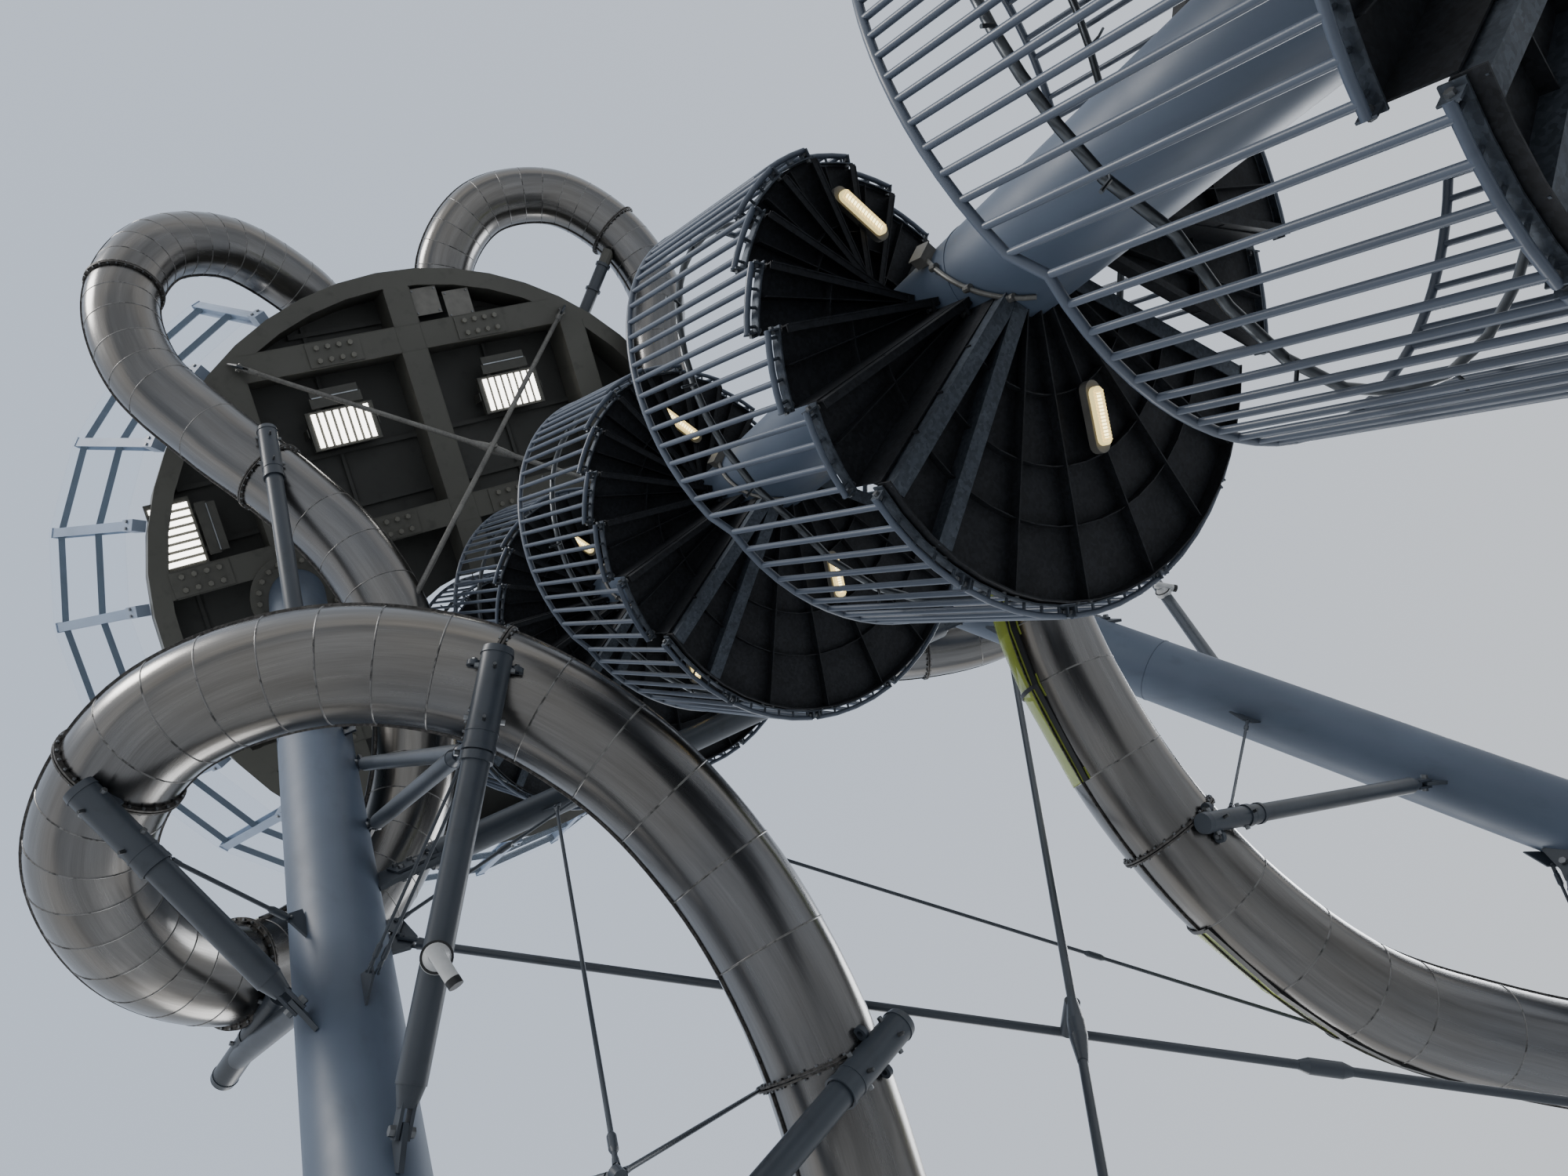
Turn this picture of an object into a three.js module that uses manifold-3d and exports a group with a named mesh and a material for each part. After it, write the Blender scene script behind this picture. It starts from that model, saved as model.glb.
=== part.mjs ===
// Tube slide tower: three leaning columns, a round platform with a flared glazed crown,
// a helical stair round the third column and two closed tube slides.
// Millimetres, +Z up, ground at z = 0, origin under the foot plate of the stair column.
// Coordinates below are measured from the platform's centre; the group is moved at the end.
import * as THREE from 'three';
import * as BGU from 'three/addons/utils/BufferGeometryUtils.js';
import Module from 'manifold-3d';

const wasm = await Module();
wasm.setup();

// Driving dimensions
const COLUMN_R = 305;
const PLATFORM_R = 3550;
const PLATFORM_UNDERSIDE = 15900;
const DECK_TOP = 16586;
const RING_DEPTH = 560;
const RING_WIDTH = 200;
const BEAM_DEPTH = 520;
const BEAM_WIDTH = 300;
const BEAMS = [
  { offset: -2730, turn: -13 },
  { offset: -600, turn: -13 },
  { offset: 1530, turn: -13 },
  { offset: 2040, turn: 77 },
  { offset: -55, turn: 77 },
  { offset: -2127, turn: 77 },
];
const TURN_RISE = 2700;
const TURNS = 6;
const RISERS = 14;
const FIRST_RISERS = 16;
const RISER = TURN_RISE / RISERS;
const FIRST_STEP = 131;
const LANDING_END = 20;
const STEP_TURN = (360 + LANDING_END - FIRST_STEP) / (RISERS - 1);
const TREAD_DEPTH = 70;
const LANDING_DEPTH = 90;
const EDGE_BAND = 24;
const EDGE_DROP = 45;
const EDGE_UPSTAND = 25;
const RISER_PLATE = 14;
const RISER_LAP = 35;
const RISER_FROM = 470;
const RAIL_HEIGHT = 1380;
const RAIL = 60;
const BAR = 32;
const BAR_DROP = 100;
const SLIDE_R = 360;
const SLIDE_WALL = 25;
const CROWN_BAY_TURN = 15;
const CROWN_FIRST_ARM = 9;
const CROWN_FROM = -4;
const CROWN_TO = 15;
const CROWN_FOOT = 16350;
const CROWN_FOOT_R = 3590;
const CROWN_TOP_R = 4440;
const CROWN_TOP = 18600;
const CROWN_ARM = { width: 70, depth: 110 };
const CROWN_RAILS_AT = [0.5, 0.96];
const PANES_FROM = 0.12;
const PANES_TO = 1.03;
const PANE_OUT = 64;
const PANE = 15;
const STRUT_R = 110;
const ARM_R = 80;
const ROD_R = 28;
const GAP = 0.3;

// Margins of the cutting solids, and the tolerance for joining corners
const CUT = 5;
const BEYOND_ENDS = 600;
const COLUMN_SPREAD = 9000;
const SITE = 30000;
const WELD = 1e-3;

// Column centre lines, ground to platform underside
const COLUMNS = [
  { foot: [-4100, 6560], head: [-2070, 350] },
  { foot: [7900, 5570], head: [2600, -730] },
  { foot: [-440, -2250], head: [470, 1660] },
];

const colours = {
  columnPaint: [0x7686a0, 0.5, 0.15],
  platformPaint: [0x34332f, 0.6, 0.2],
  stairSteel: [0x262a2f, 0.7, 0.45],
  railPaint: [0x7f8ca2, 0.5, 0.25],
  crownPaint: [0x8797a8, 0.45, 0.2],
  crownGlass: [0xb9d3e6, 0.08, 0],
  slideSteel: [0x9a948c, 0.28, 0.95],
};

const root = new THREE.Group();
root.name = 'water_slide_tower';

function paint(name) {
  const [color, roughness, metalness] = colours[name];
  const material = new THREE.MeshStandardMaterial({ color, roughness, metalness });
  material.name = name;
  return material;
}

function solid(geometry) {
  const bare = geometry.clone();
  bare.deleteAttribute('normal');
  bare.deleteAttribute('uv');
  const merged = BGU.mergeVertices(bare, WELD);
  return new wasm.Manifold(new wasm.Mesh({
    numProp: 3,
    vertProperties: new Float32Array(merged.attributes.position.array),
    triVerts: new Uint32Array(merged.index.array),
  }));
}

function toGeometry(body) {
  const mesh = body.getMesh();
  const g = new THREE.BufferGeometry();
  g.setAttribute('position', new THREE.BufferAttribute(new Float32Array(mesh.vertProperties), 3));
  g.setIndex(new THREE.BufferAttribute(new Uint32Array(mesh.triVerts), 1));
  g.computeVertexNormals();
  return g;
}

function add(name, body, material) {
  const mesh = new THREE.Mesh(toGeometry(body), paint(material));
  mesh.name = name;
  root.add(mesh);
}

function fuse(bodies) {
  return bodies.reduce((sum, body) => sum.add(body));
}

function vec(p) {
  return new THREE.Vector3(p[0], p[1], p[2]);
}

function box(size, centre, turn = 0) {
  const g = new THREE.BoxGeometry(size[0], size[1], size[2]);
  g.rotateZ(THREE.MathUtils.degToRad(turn));
  g.translate(centre[0], centre[1], centre[2]);
  return solid(g);
}

function disc(radius, z0, z1, centre = [0, 0], sides = 48) {
  const g = new THREE.CylinderGeometry(radius, radius, z1 - z0, sides);
  g.rotateX(Math.PI / 2);
  g.translate(centre[0], centre[1], (z0 + z1) / 2);
  return solid(g);
}

// Round bar between two points
function rod(p, q, radius, sides = 12) {
  const a = vec(p);
  const b = vec(q);
  const g = new THREE.CylinderGeometry(radius, radius, a.distanceTo(b), sides);
  const along = b.clone().sub(a).normalize();
  g.applyQuaternion(new THREE.Quaternion().setFromUnitVectors(new THREE.Vector3(0, 1, 0), along));
  g.translate((a.x + b.x) / 2, (a.y + b.y) / 2, (a.z + b.z) / 2);
  return solid(g);
}

// Box bar between two points, width across and depth upwards
function bar(p, q, width, depth) {
  const a = vec(p);
  const b = vec(q);
  const along = b.clone().sub(a).normalize();
  const across = new THREE.Vector3(0, 0, 1).cross(along);
  if (across.length() < WELD) {
    across.set(1, 0, 0);
  }
  across.normalize();
  const up = along.clone().cross(across);
  const g = new THREE.BoxGeometry(a.distanceTo(b), width, depth);
  g.applyMatrix4(new THREE.Matrix4().makeBasis(along, across, up));
  g.translate((a.x + b.x) / 2, (a.y + b.y) / 2, (a.z + b.z) / 2);
  return solid(g);
}

// Square bar through a row of points, width to the side and height upwards
function railBar(points, width, height) {
  const corners = [];
  points.forEach((point, k) => {
    const before = points[Math.max(k - 1, 0)];
    const after = points[Math.min(k + 1, points.length - 1)];
    const run = Math.hypot(after[0] - before[0], after[1] - before[1]);
    const sx = (-(after[1] - before[1]) / run) * (width / 2);
    const sy = ((after[0] - before[0]) / run) * (width / 2);
    const [x, y, z] = point;
    corners.push(
      [x - sx, y - sy, z - height / 2], [x + sx, y + sy, z - height / 2],
      [x + sx, y + sy, z + height / 2], [x - sx, y - sy, z + height / 2],
    );
  });
  const faces = [0, 2, 1, 0, 3, 2];
  for (let k = 0; k + 1 < points.length; k += 1) {
    for (let side = 0; side < 4; side += 1) {
      const a = 4 * k + side;
      const b = 4 * k + ((side + 1) % 4);
      faces.push(a, b + 4, a + 4, a, b, b + 4);
    }
  }
  const end = 4 * (points.length - 1);
  faces.push(end, end + 1, end + 2, end, end + 2, end + 3);
  const g = new THREE.BufferGeometry();
  g.setAttribute('position', new THREE.Float32BufferAttribute(corners.flat(), 3));
  g.setIndex(faces);
  return solid(g);
}

// Flat plate with a polygon outline
function plate(points, z0, z1) {
  const shape = new THREE.Shape(points.map(([x, y]) => new THREE.Vector2(x, y)));
  const g = new THREE.ExtrudeGeometry(shape, { depth: z1 - z0, bevelEnabled: false });
  g.translate(0, 0, z0);
  return solid(g);
}

function columnAt(index, z) {
  const { foot, head } = COLUMNS[index];
  const t = z / PLATFORM_UNDERSIDE;
  return [foot[0] + (head[0] - foot[0]) * t, foot[1] + (head[1] - foot[1]) * t, z];
}

function columnBody(index, radius, z0, z1, sides = 24) {
  const low = columnAt(index, z0 - BEYOND_ENDS);
  const high = columnAt(index, z1 + BEYOND_ENDS);
  const [x, y, z] = columnAt(index, (z0 + z1) / 2);
  const slab = box([COLUMN_SPREAD, COLUMN_SPREAD, z1 - z0], [x, y, z]);
  return rod(low, high, radius, sides).intersect(slab);
}

// Columns with their welded foot plates and head flanges
const FOOT_PLATE = { radius: 620, thickness: 45 };
const FOOT_GUSSET = { length: 1160, thickness: 25, height: 330 };
const HEAD_FLANGE = { radius: 450, thickness: 45 };
COLUMNS.forEach((_, i) => {
  const top = PLATFORM_UNDERSIDE - GAP;
  const [fx, fy] = columnAt(i, 0);
  const [hx, hy] = columnAt(i, PLATFORM_UNDERSIDE);
  const parts = [
    columnBody(i, COLUMN_R, 2 * CUT, top - 2 * CUT),
    disc(FOOT_PLATE.radius, 0, FOOT_PLATE.thickness, [fx, fy], 20),
    disc(HEAD_FLANGE.radius, top - HEAD_FLANGE.thickness, top, [hx, hy], 24),
  ];
  const gussetMiddle = FOOT_PLATE.thickness + FOOT_GUSSET.height / 2 - CUT;
  for (const turn of [0, 90]) {
    const size = [FOOT_GUSSET.length, FOOT_GUSSET.thickness, FOOT_GUSSET.height];
    parts.push(box(size, [fx, fy, gussetMiddle], turn));
  }
  add(`column_${i + 1}`, fuse(parts), 'columnPaint');
});

// Stair outline, measured from the leaning column at each level: rounder on one side and
// a little oval; the turns are in radians
const STAIR_OUTLINE = { mean: 1400, bulge: 270, bulgeTurn: 1.12, oval: 90, ovalTurn: 1.35 };
function stairRadius(angle) {
  const a = THREE.MathUtils.degToRad(angle);
  const { mean, bulge, bulgeTurn, oval, ovalTurn } = STAIR_OUTLINE;
  return mean + bulge * Math.cos(a - bulgeTurn) + oval * Math.cos(2 * (a - ovalTurn));
}

function stairPoint(angle, radius, z) {
  const [x, y] = columnAt(2, z);
  const a = THREE.MathUtils.degToRad(angle);
  return [x + radius * Math.cos(a), y + radius * Math.sin(a), z];
}

function levelOf(landing) {
  return DECK_TOP - TURN_RISE * (TURNS - landing);
}

// Treads that climb from a landing; the first flight starts lower, on the ground
function stepList(landing) {
  const extra = landing === 0 ? FIRST_RISERS - RISERS : 0;
  const base = levelOf(landing);
  return Array.from({ length: RISERS - 1 + extra }, (_, k) => ({
    from: FIRST_STEP + STEP_TURN * (k - extra),
    to: FIRST_STEP + STEP_TURN * (k - extra + 1),
    low: base + RISER * (k - extra),
    high: base + RISER * (k - extra + 1),
  }));
}

// A stretch of stair between two angles; the leaning axis is taken from its low to its high level
function edgePoint(span, t, offset) {
  const angle = span.from * (1 - t) + span.to * t;
  return stairPoint(angle, stairRadius(angle) + offset, span.low * (1 - t) + span.high * t);
}

function edgePoints(span, offset, steps, inset = 0) {
  return Array.from({ length: steps + 1 }, (_, k) => (
    edgePoint(span, inset + (1 - 2 * inset) * (k / steps), offset)
  ));
}

// Sector from the column axis to the outer edge plus an offset
const APEX_R = 40;
function sector(span, offset, z0, z1, steps, inset) {
  const apex = stairPoint((span.from + span.to) / 2, APEX_R, (span.low + span.high) / 2);
  return plate([apex, ...edgePoints(span, offset, steps, inset)], z0, z1);
}

// Band that follows the outer edge
function strip(span, z0, z1, steps) {
  const outer = edgePoints(span, 0, steps);
  const inner = edgePoints(span, -EDGE_BAND, steps).reverse();
  return plate([...outer, ...inner], z0, z1);
}

// Upright plate that closes the front of a tread
function riserPlate(span, foot) {
  const middle = (foot + span.high - RISER_LAP) / 2;
  const [x0, y0] = stairPoint(span.from, RISER_FROM, span.low);
  const [x1, y1] = edgePoint(span, 0, -EDGE_BAND / 2);
  return bar([x0, y0, middle], [x1, y1, middle], RISER_PLATE, span.high - RISER_LAP - foot);
}

// Platform: ring beam, crossing beams, deck with the stairwell
const WELL = { clearance: 110, beyond: 100, seam: 120, overlap: 0.06, firstStep: 2 };
const wellLow = PLATFORM_UNDERSIDE - WELL.beyond;
const wellHigh = DECK_TOP + WELL.beyond;
const wellParts = stepList(TURNS - 1).slice(WELL.firstStep).flatMap((span) => {
  const middle = (wellLow + wellHigh) / 2;
  const [x0, y0] = stairPoint(span.from, 0, span.low);
  const [x1, y1] = edgePoint(span, 0, 0);
  return [
    sector(span, WELL.clearance, wellLow, wellHigh, 2, -WELL.overlap),
    bar([x0, y0, middle], [x1, y1, middle], WELL.seam, wellHigh - wellLow),
  ];
});
const well = fuse(wellParts);

const ringTop = PLATFORM_UNDERSIDE + RING_DEPTH;
const ring = disc(PLATFORM_R, PLATFORM_UNDERSIDE, ringTop)
  .subtract(disc(PLATFORM_R - RING_WIDTH, PLATFORM_UNDERSIDE - CUT, ringTop + CUT));
const ringBeam = ring.subtract(well);

function beam({ offset, turn }) {
  const a = THREE.MathUtils.degToRad(turn);
  const x = -offset * Math.sin(a);
  const y = offset * Math.cos(a);
  const size = [2 * PLATFORM_R + BEYOND_ENDS, BEAM_WIDTH, BEAM_DEPTH];
  return box(size, [x, y, PLATFORM_UNDERSIDE + BEAM_DEPTH / 2], turn);
}

const inside = disc(PLATFORM_R - RING_WIDTH - GAP, PLATFORM_UNDERSIDE, ringTop);
const beams = fuse(BEAMS.map(beam));
add('platform_beams', beams.intersect(inside).subtract(well), 'platformPaint');

const deckBottom = ringTop + GAP;
const deck = disc(PLATFORM_R, deckBottom, DECK_TOP).subtract(well);
add('platform_deck', deck, 'platformPaint');

// Glazed crown, flared outwards from the deck edge, open where the slides leave
function crownPoint(bay, t, out = 0) {
  const a = THREE.MathUtils.degToRad(CROWN_FIRST_ARM + CROWN_BAY_TURN * bay);
  const r = CROWN_FOOT_R + (CROWN_TOP_R - CROWN_FOOT_R) * t + out;
  return [r * Math.cos(a), r * Math.sin(a), CROWN_FOOT + (CROWN_TOP - CROWN_FOOT) * t];
}

const frame = [];
const bays = [];
for (let bay = CROWN_FROM; bay <= CROWN_TO; bay += 1) {
  bays.push(bay);
  frame.push(bar(crownPoint(bay, 0), crownPoint(bay, 1), CROWN_ARM.width, CROWN_ARM.depth));
}
for (const t of CROWN_RAILS_AT) {
  frame.push(railBar(bays.map((bay) => crownPoint(bay, t)), RAIL, RAIL));
}
const rimClear = disc(PLATFORM_R + GAP, PLATFORM_UNDERSIDE - CUT, DECK_TOP + CUT);
add('crown_frame', fuse(frame).subtract(rimClear), 'crownPaint');

function crownPanes(from, to) {
  const inner = [];
  const outer = [];
  for (let bay = from; bay <= to; bay += 1) {
    inner.push(crownPoint(bay, PANES_FROM, PANE_OUT), crownPoint(bay, PANES_TO, PANE_OUT));
    outer.push(
      crownPoint(bay, PANES_FROM, PANE_OUT + PANE),
      crownPoint(bay, PANES_TO, PANE_OUT + PANE),
    );
  }
  const n = inner.length;
  const faces = [];
  const quad = (a, b, c, d) => faces.push(a, b, c, a, c, d);
  for (let k = 0; k + 2 < n; k += 2) {
    quad(k, k + 1, k + 3, k + 2);
    quad(n + k, n + k + 2, n + k + 3, n + k + 1);
    quad(k, k + 2, n + k + 2, n + k);
    quad(k + 1, n + k + 1, n + k + 3, k + 3);
  }
  quad(0, n, n + 1, 1);
  quad(n - 2, n - 1, 2 * n - 1, 2 * n - 2);
  const g = new THREE.BufferGeometry();
  g.setAttribute('position', new THREE.Float32BufferAttribute([...inner, ...outer].flat(), 3));
  g.setIndex(faces);
  return solid(g);
}
add('crown_glass', crownPanes(CROWN_FROM, CROWN_TO), 'crownGlass');

// Helical stair: treads and landings
function clearOfColumn(body, z0, z1) {
  return body.subtract(columnBody(2, COLUMN_R + GAP, z0, z1));
}

const footTop = FOOT_PLATE.thickness + FOOT_GUSSET.height;
const footClear = disc(FOOT_PLATE.radius + 4 * CUT, -CUT, footTop, columnAt(2, 0), 20);

const LANDING_SIDES = 6;
const LANDING_SEAM = 0.1;
const TREAD_INSET = 0.012;
const LANDING_INSET = 0.004;
const FLIGHT_MARGIN = 300;
function landingSpan(z) {
  return { from: LANDING_END + LANDING_SEAM, to: FIRST_STEP, low: z, high: z };
}

for (let landing = 0; landing < TURNS; landing += 1) {
  const steps = stepList(landing);
  const parts = [];
  steps.forEach((span, k) => {
    const z = span.high;
    parts.push(sector(span, -EDGE_BAND / 2, z - TREAD_DEPTH, z, 1, TREAD_INSET));
    parts.push(strip(span, z - EDGE_DROP, z + EDGE_UPSTAND, 1));
    const onGround = landing === 0 && k === 0;
    parts.push(riserPlate(span, onGround ? span.low : span.low - RISER_LAP));
  });
  if (landing > 0) {
    const z = levelOf(landing);
    const span = landingSpan(z);
    const depth = z - LANDING_DEPTH;
    parts.push(sector(span, -EDGE_BAND / 2, depth, z, LANDING_SIDES, LANDING_INSET));
    parts.push(strip(span, z - EDGE_DROP, z + EDGE_UPSTAND, LANDING_SIDES));
  }
  const low = steps[0].low;
  const high = steps[steps.length - 1].high;
  let flight = clearOfColumn(fuse(parts), low - FLIGHT_MARGIN, high + FLIGHT_MARGIN);
  if (landing === 0) {
    flight = flight.subtract(footClear);
  }
  add(`stair_flight_${landing + 1}`, flight, 'stairSteel');
}

// Balustrades hung on the outside of the edge band
function edgeBar(span, t0, t1) {
  const [x0, y0, z0] = edgePoint(span, t0, 0);
  const [x1, y1, z1] = edgePoint(span, t1, 0);
  const length = Math.hypot(x1 - x0, y1 - y0);
  const out = BAR / 2 + GAP;
  const x = (x0 + x1) / 2 + ((y1 - y0) / length) * out;
  const y = (y0 + y1) / 2 - ((x1 - x0) / length) * out;
  const turn = THREE.MathUtils.radToDeg(Math.atan2(y1 - y0, x1 - x0));
  return { x, y, z: Math.max(z0, z1, span.high), turn };
}

const LANDING_BARS = [0, 2, 3, 5];
for (let landing = 0; landing < TURNS; landing += 1) {
  const posts = [];
  if (landing > 0) {
    const span = landingSpan(levelOf(landing));
    for (const k of LANDING_BARS) {
      posts.push(edgeBar(span, k / LANDING_SIDES, (k + 1) / LANDING_SIDES));
    }
  }
  stepList(landing).forEach((span, k) => {
    if (k % 2 === 0) {
      posts.push(edgeBar(span, 0, 1));
    }
  });
  const bars = posts.map(({ x, y, z, turn }) => {
    const foot = Math.max(z - BAR_DROP, 0);
    const height = z + RAIL_HEIGHT - foot;
    return box([BAR, BAR, height], [x, y, foot + height / 2], turn);
  });
  const rail = railBar(posts.map(({ x, y, z }) => [x, y, z + RAIL_HEIGHT]), RAIL, RAIL);
  add(`balustrade_${landing + 1}`, fuse([rail, ...bars]), 'railPaint');
}

// Slides: closed tubes in bolted lengths
const SLIDE_PATHS = {
  a: [
    [-1000, -2850, 17000], [-1300, -3160, 17000], [-1630, -3470, 16920], [-2400, -3810, 16620],
    [-3190, -3580, 16100], [-3600, -2870, 15580], [-3480, -2020, 15060], [-2960, -1320, 14550],
    [-2360, -670, 14050], [-1860, 30, 13550], [-1600, 830, 13070], [-1610, 1690, 12600],
    [-1910, 2490, 12100], [-2510, 3070, 11580], [-3310, 3180, 11020], [-3970, 2720, 10470],
    [-4210, 1950, 9970], [-3820, 1240, 9510], [-3010, 950, 9100], [-2140, 1100, 8750],
    [-1430, 1610, 8360], [-940, 2330, 7980], [-690, 3120, 7560], [-610, 3960, 7180],
    [-620, 5000, 6850], [-1300, 6100, 6500], [-2500, 6900, 5950], [-3900, 7050, 5300],
    [-5200, 6350, 4600], [-6000, 5100, 3880], [-6000, 3600, 3100], [-5200, 2350, 2300],
    [-3900, 1700, 1480], [-2500, 1480, 880], [-1200, 1450, 650], [0, 1450, 600], [1100, 1450, 590],
  ],
  b: [
    [250, -2950, 16980], [200, -3880, 16920], [700, -4630, 16740], [1570, -4780, 16500],
    [2320, -4300, 16220], [2690, -3470, 15880], [2490, -2590, 15450], [2350, -1720, 15080],
    [2130, -860, 14700], [2100, 50, 14310], [2500, 930, 13890], [3350, 1420, 13460],
    [4460, 1550, 12960], [5490, 1340, 12480], [6340, 690, 11990], [6760, -230, 11510],
    [6330, -1140, 11040], [5410, -1560, 10550], [4320, -1560, 10030], [3300, -1100, 9480],
    [2650, -350, 8980], [2080, 960, 8260], [2100, 1790, 7850], [2330, 2590, 7430],
    [2760, 3300, 7010], [3360, 3870, 6600], [4120, 4230, 6200], [4900, 4500, 5880],
    [6000, 4800, 5550], [7300, 5100, 5250], [8800, 5050, 4750], [10100, 4300, 4220],
    [10700, 2900, 3600], [10300, 1500, 2950], [9100, 600, 2280], [7600, 350, 1550],
    [6000, 400, 920], [4600, 450, 650], [3300, 450, 590],
  ],
};
const SLIDE_LENGTHS = 4;
const SLIDE_STEPS = 13;

function slideCurve(key) {
  return new THREE.CatmullRomCurve3(SLIDE_PATHS[key].map(vec), false, 'centripetal');
}

class Stretch extends THREE.Curve {
  constructor(curve, from, to) {
    super();
    this.whole = curve;
    this.from = from;
    this.to = to;
  }

  getPoint(t) {
    return this.whole.getPointAt(this.from + (this.to - this.from) * t);
  }

  getTangent(t) {
    return this.whole.getTangentAt(this.from + (this.to - this.from) * t);
  }
}

function circle(radius, sides) {
  return Array.from({ length: sides }, (_, k) => {
    const a = (k / sides) * Math.PI * 2;
    return new THREE.Vector2(radius * Math.cos(a), radius * Math.sin(a));
  });
}

function tube(curve, from, to, steps, radius = SLIDE_R, bore = SLIDE_R - SLIDE_WALL, sides = 10) {
  const shape = new THREE.Shape(circle(radius, sides));
  if (bore > 0) {
    shape.holes.push(new THREE.Path(circle(bore, sides)));
  }
  const extrudePath = new Stretch(curve, from, to);
  return solid(new THREE.ExtrudeGeometry(shape, { steps, extrudePath, bevelEnabled: false }));
}

const slideSkins = { a: [], b: [] };
for (const key of ['a', 'b']) {
  const curve = slideCurve(key);
  const half = GAP / curve.getLength();
  for (let k = 0; k < SLIDE_LENGTHS; k += 1) {
    const from = k / SLIDE_LENGTHS + half;
    const to = (k + 1) / SLIDE_LENGTHS - half;
    add(`slide_${key}_length_${k + 1}`, tube(curve, from, to, SLIDE_STEPS), 'slideSteel');
    slideSkins[key].push(tube(curve, from, to, SLIDE_STEPS, SLIDE_R + GAP, 0));
  }
}

function clearOfSlide(body, key) {
  return slideSkins[key].reduce((rest, skin) => rest.subtract(skin), body);
}

// Strut, crossed rods and the arms that carry the slides
const NODE = { radius: 70, beyond: 30 };
const ARM_BITE = 20;
const SHAFT = { low: 50, high: 15800 };
function clearOfColumns(body, columns) {
  let clear = body;
  for (const i of columns) {
    clear = clear.subtract(columnBody(i, COLUMN_R + GAP, SHAFT.low, SHAFT.high));
  }
  const top = PLATFORM_UNDERSIDE - GAP;
  return clear.intersect(box([SITE, SITE, top], [0, 0, top / 2]));
}

function crossing(p, q, r, s) {
  const a = vec(p);
  const b = vec(r);
  const u = vec(q).sub(a);
  const v = vec(s).sub(b);
  const w = a.clone().sub(b);
  const den = u.dot(u) * v.dot(v) - u.dot(v) ** 2;
  const along = (u.dot(v) * v.dot(w) - v.dot(v) * u.dot(w)) / den;
  const across = (u.dot(u) * v.dot(w) - u.dot(v) * u.dot(w)) / den;
  return [a.addScaledVector(u, along), b.addScaledVector(v, across)];
}

// Two tie rods that cross, joined by a sleeve where they pass
function crossedRods(name, p, q, r, s) {
  const [on, under] = crossing(p, q, r, s);
  const reach = on.clone().sub(under).setLength(ROD_R + NODE.beyond);
  const sleeve = rod(on.add(reach).toArray(), under.sub(reach).toArray(), NODE.radius, 12);
  const body = fuse([rod(p, q, ROD_R, 8), rod(r, s, ROD_R, 8), sleeve]);
  add(name, clearOfColumns(body, [0, 1]), 'columnPaint');
}

const STRUT = { from: [-2800, 2600, 10140], to: [4120, 1080, 11340] };
const UPPER_RODS = [
  [1400, -3100, PLATFORM_UNDERSIDE], [-2355, 1848, 11500],
  [-2500, -2300, 15820], columnAt(1, 11700),
];
const LOWER_RODS = [
  columnAt(0, 10000), columnAt(1, 1600),
  [3990, 1200, 11000], columnAt(0, 850),
];
const strut = rod(STRUT.from, STRUT.to, STRUT_R, 16);
add('strut', clearOfColumns(strut, [0, 1]), 'columnPaint');
crossedRods('upper_cross_rods', ...UPPER_RODS);
crossedRods('lower_cross_rods', ...LOWER_RODS);

// Bracket from the ring beam to the second slide's first flange
const RING_BRACKET = { from: [1700, -2990, 16150], to: [2150, -3960, 16020] };
const bracket = rod(RING_BRACKET.from, RING_BRACKET.to, ARM_R, 12);
const bracketEnd = clearOfSlide(bracket, 'b');
add('platform_ring_beam', ringBeam.add(bracketEnd), 'platformPaint');

// Share of a curve's length at which it comes nearest to a point
const NEAR_SAMPLES = 400;
function nearest(curve, point) {
  const target = vec(point);
  let best = 0;
  for (let k = 1; k <= NEAR_SAMPLES; k += 1) {
    const here = curve.getPointAt(k / NEAR_SAMPLES).distanceTo(target);
    if (here < curve.getPointAt(best).distanceTo(target)) {
      best = k / NEAR_SAMPLES;
    }
  }
  return best;
}

// Arm from a column to a slide: it passes beside the tube and ends beyond it
function slideArm(name, { column, z, key, near, side, beyond }) {
  const curve = slideCurve(key);
  const u = nearest(curve, near);
  const centre = curve.getPointAt(u);
  const tangent = curve.getTangentAt(u);
  const foot = vec(columnAt(column, z));
  const along = centre.clone().sub(foot).normalize();
  const away = tangent.clone().cross(along).normalize();
  const tip = centre.clone().addScaledVector(away, side * (SLIDE_R + ARM_R - ARM_BITE));
  const reach = tip.clone().sub(foot).normalize();
  tip.addScaledVector(reach, beyond);
  const arm = rod(foot.toArray(), tip.toArray(), ARM_R, 12);
  add(name, clearOfSlide(clearOfColumns(arm, [column]), key), 'columnPaint');
}

const ARMS = [
  { column: 0, z: 7400, key: 'a', near: [-2010, 1160, 8690], side: 1, beyond: 30 },
  { column: 0, z: 8600, key: 'a', near: [-4010, 1450, 9660], side: 1, beyond: -100 },
  { column: 0, z: 11800, key: 'a', near: [-2530, -860, 14200], side: 1, beyond: 150 },
  { column: 0, z: 6000, key: 'a', near: [-640, 3480, 7380], side: 1, beyond: 260 },
  { column: 0, z: 4200, key: 'a', near: [-6030, 4600, 3620], side: 1, beyond: 260 },
  { column: 1, z: 8800, key: 'b', near: [6560, 380, 11820], side: -1, beyond: 260 },
  { column: 1, z: 7200, key: 'b', near: [2390, 2720, 7360], side: -1, beyond: 150 },
  { column: 1, z: 6600, key: 'b', near: [4800, 4470, 5920], side: -1, beyond: 260 },
];
ARMS.forEach((arm, k) => slideArm(`slide_arm_${k + 1}`, arm));

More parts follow.
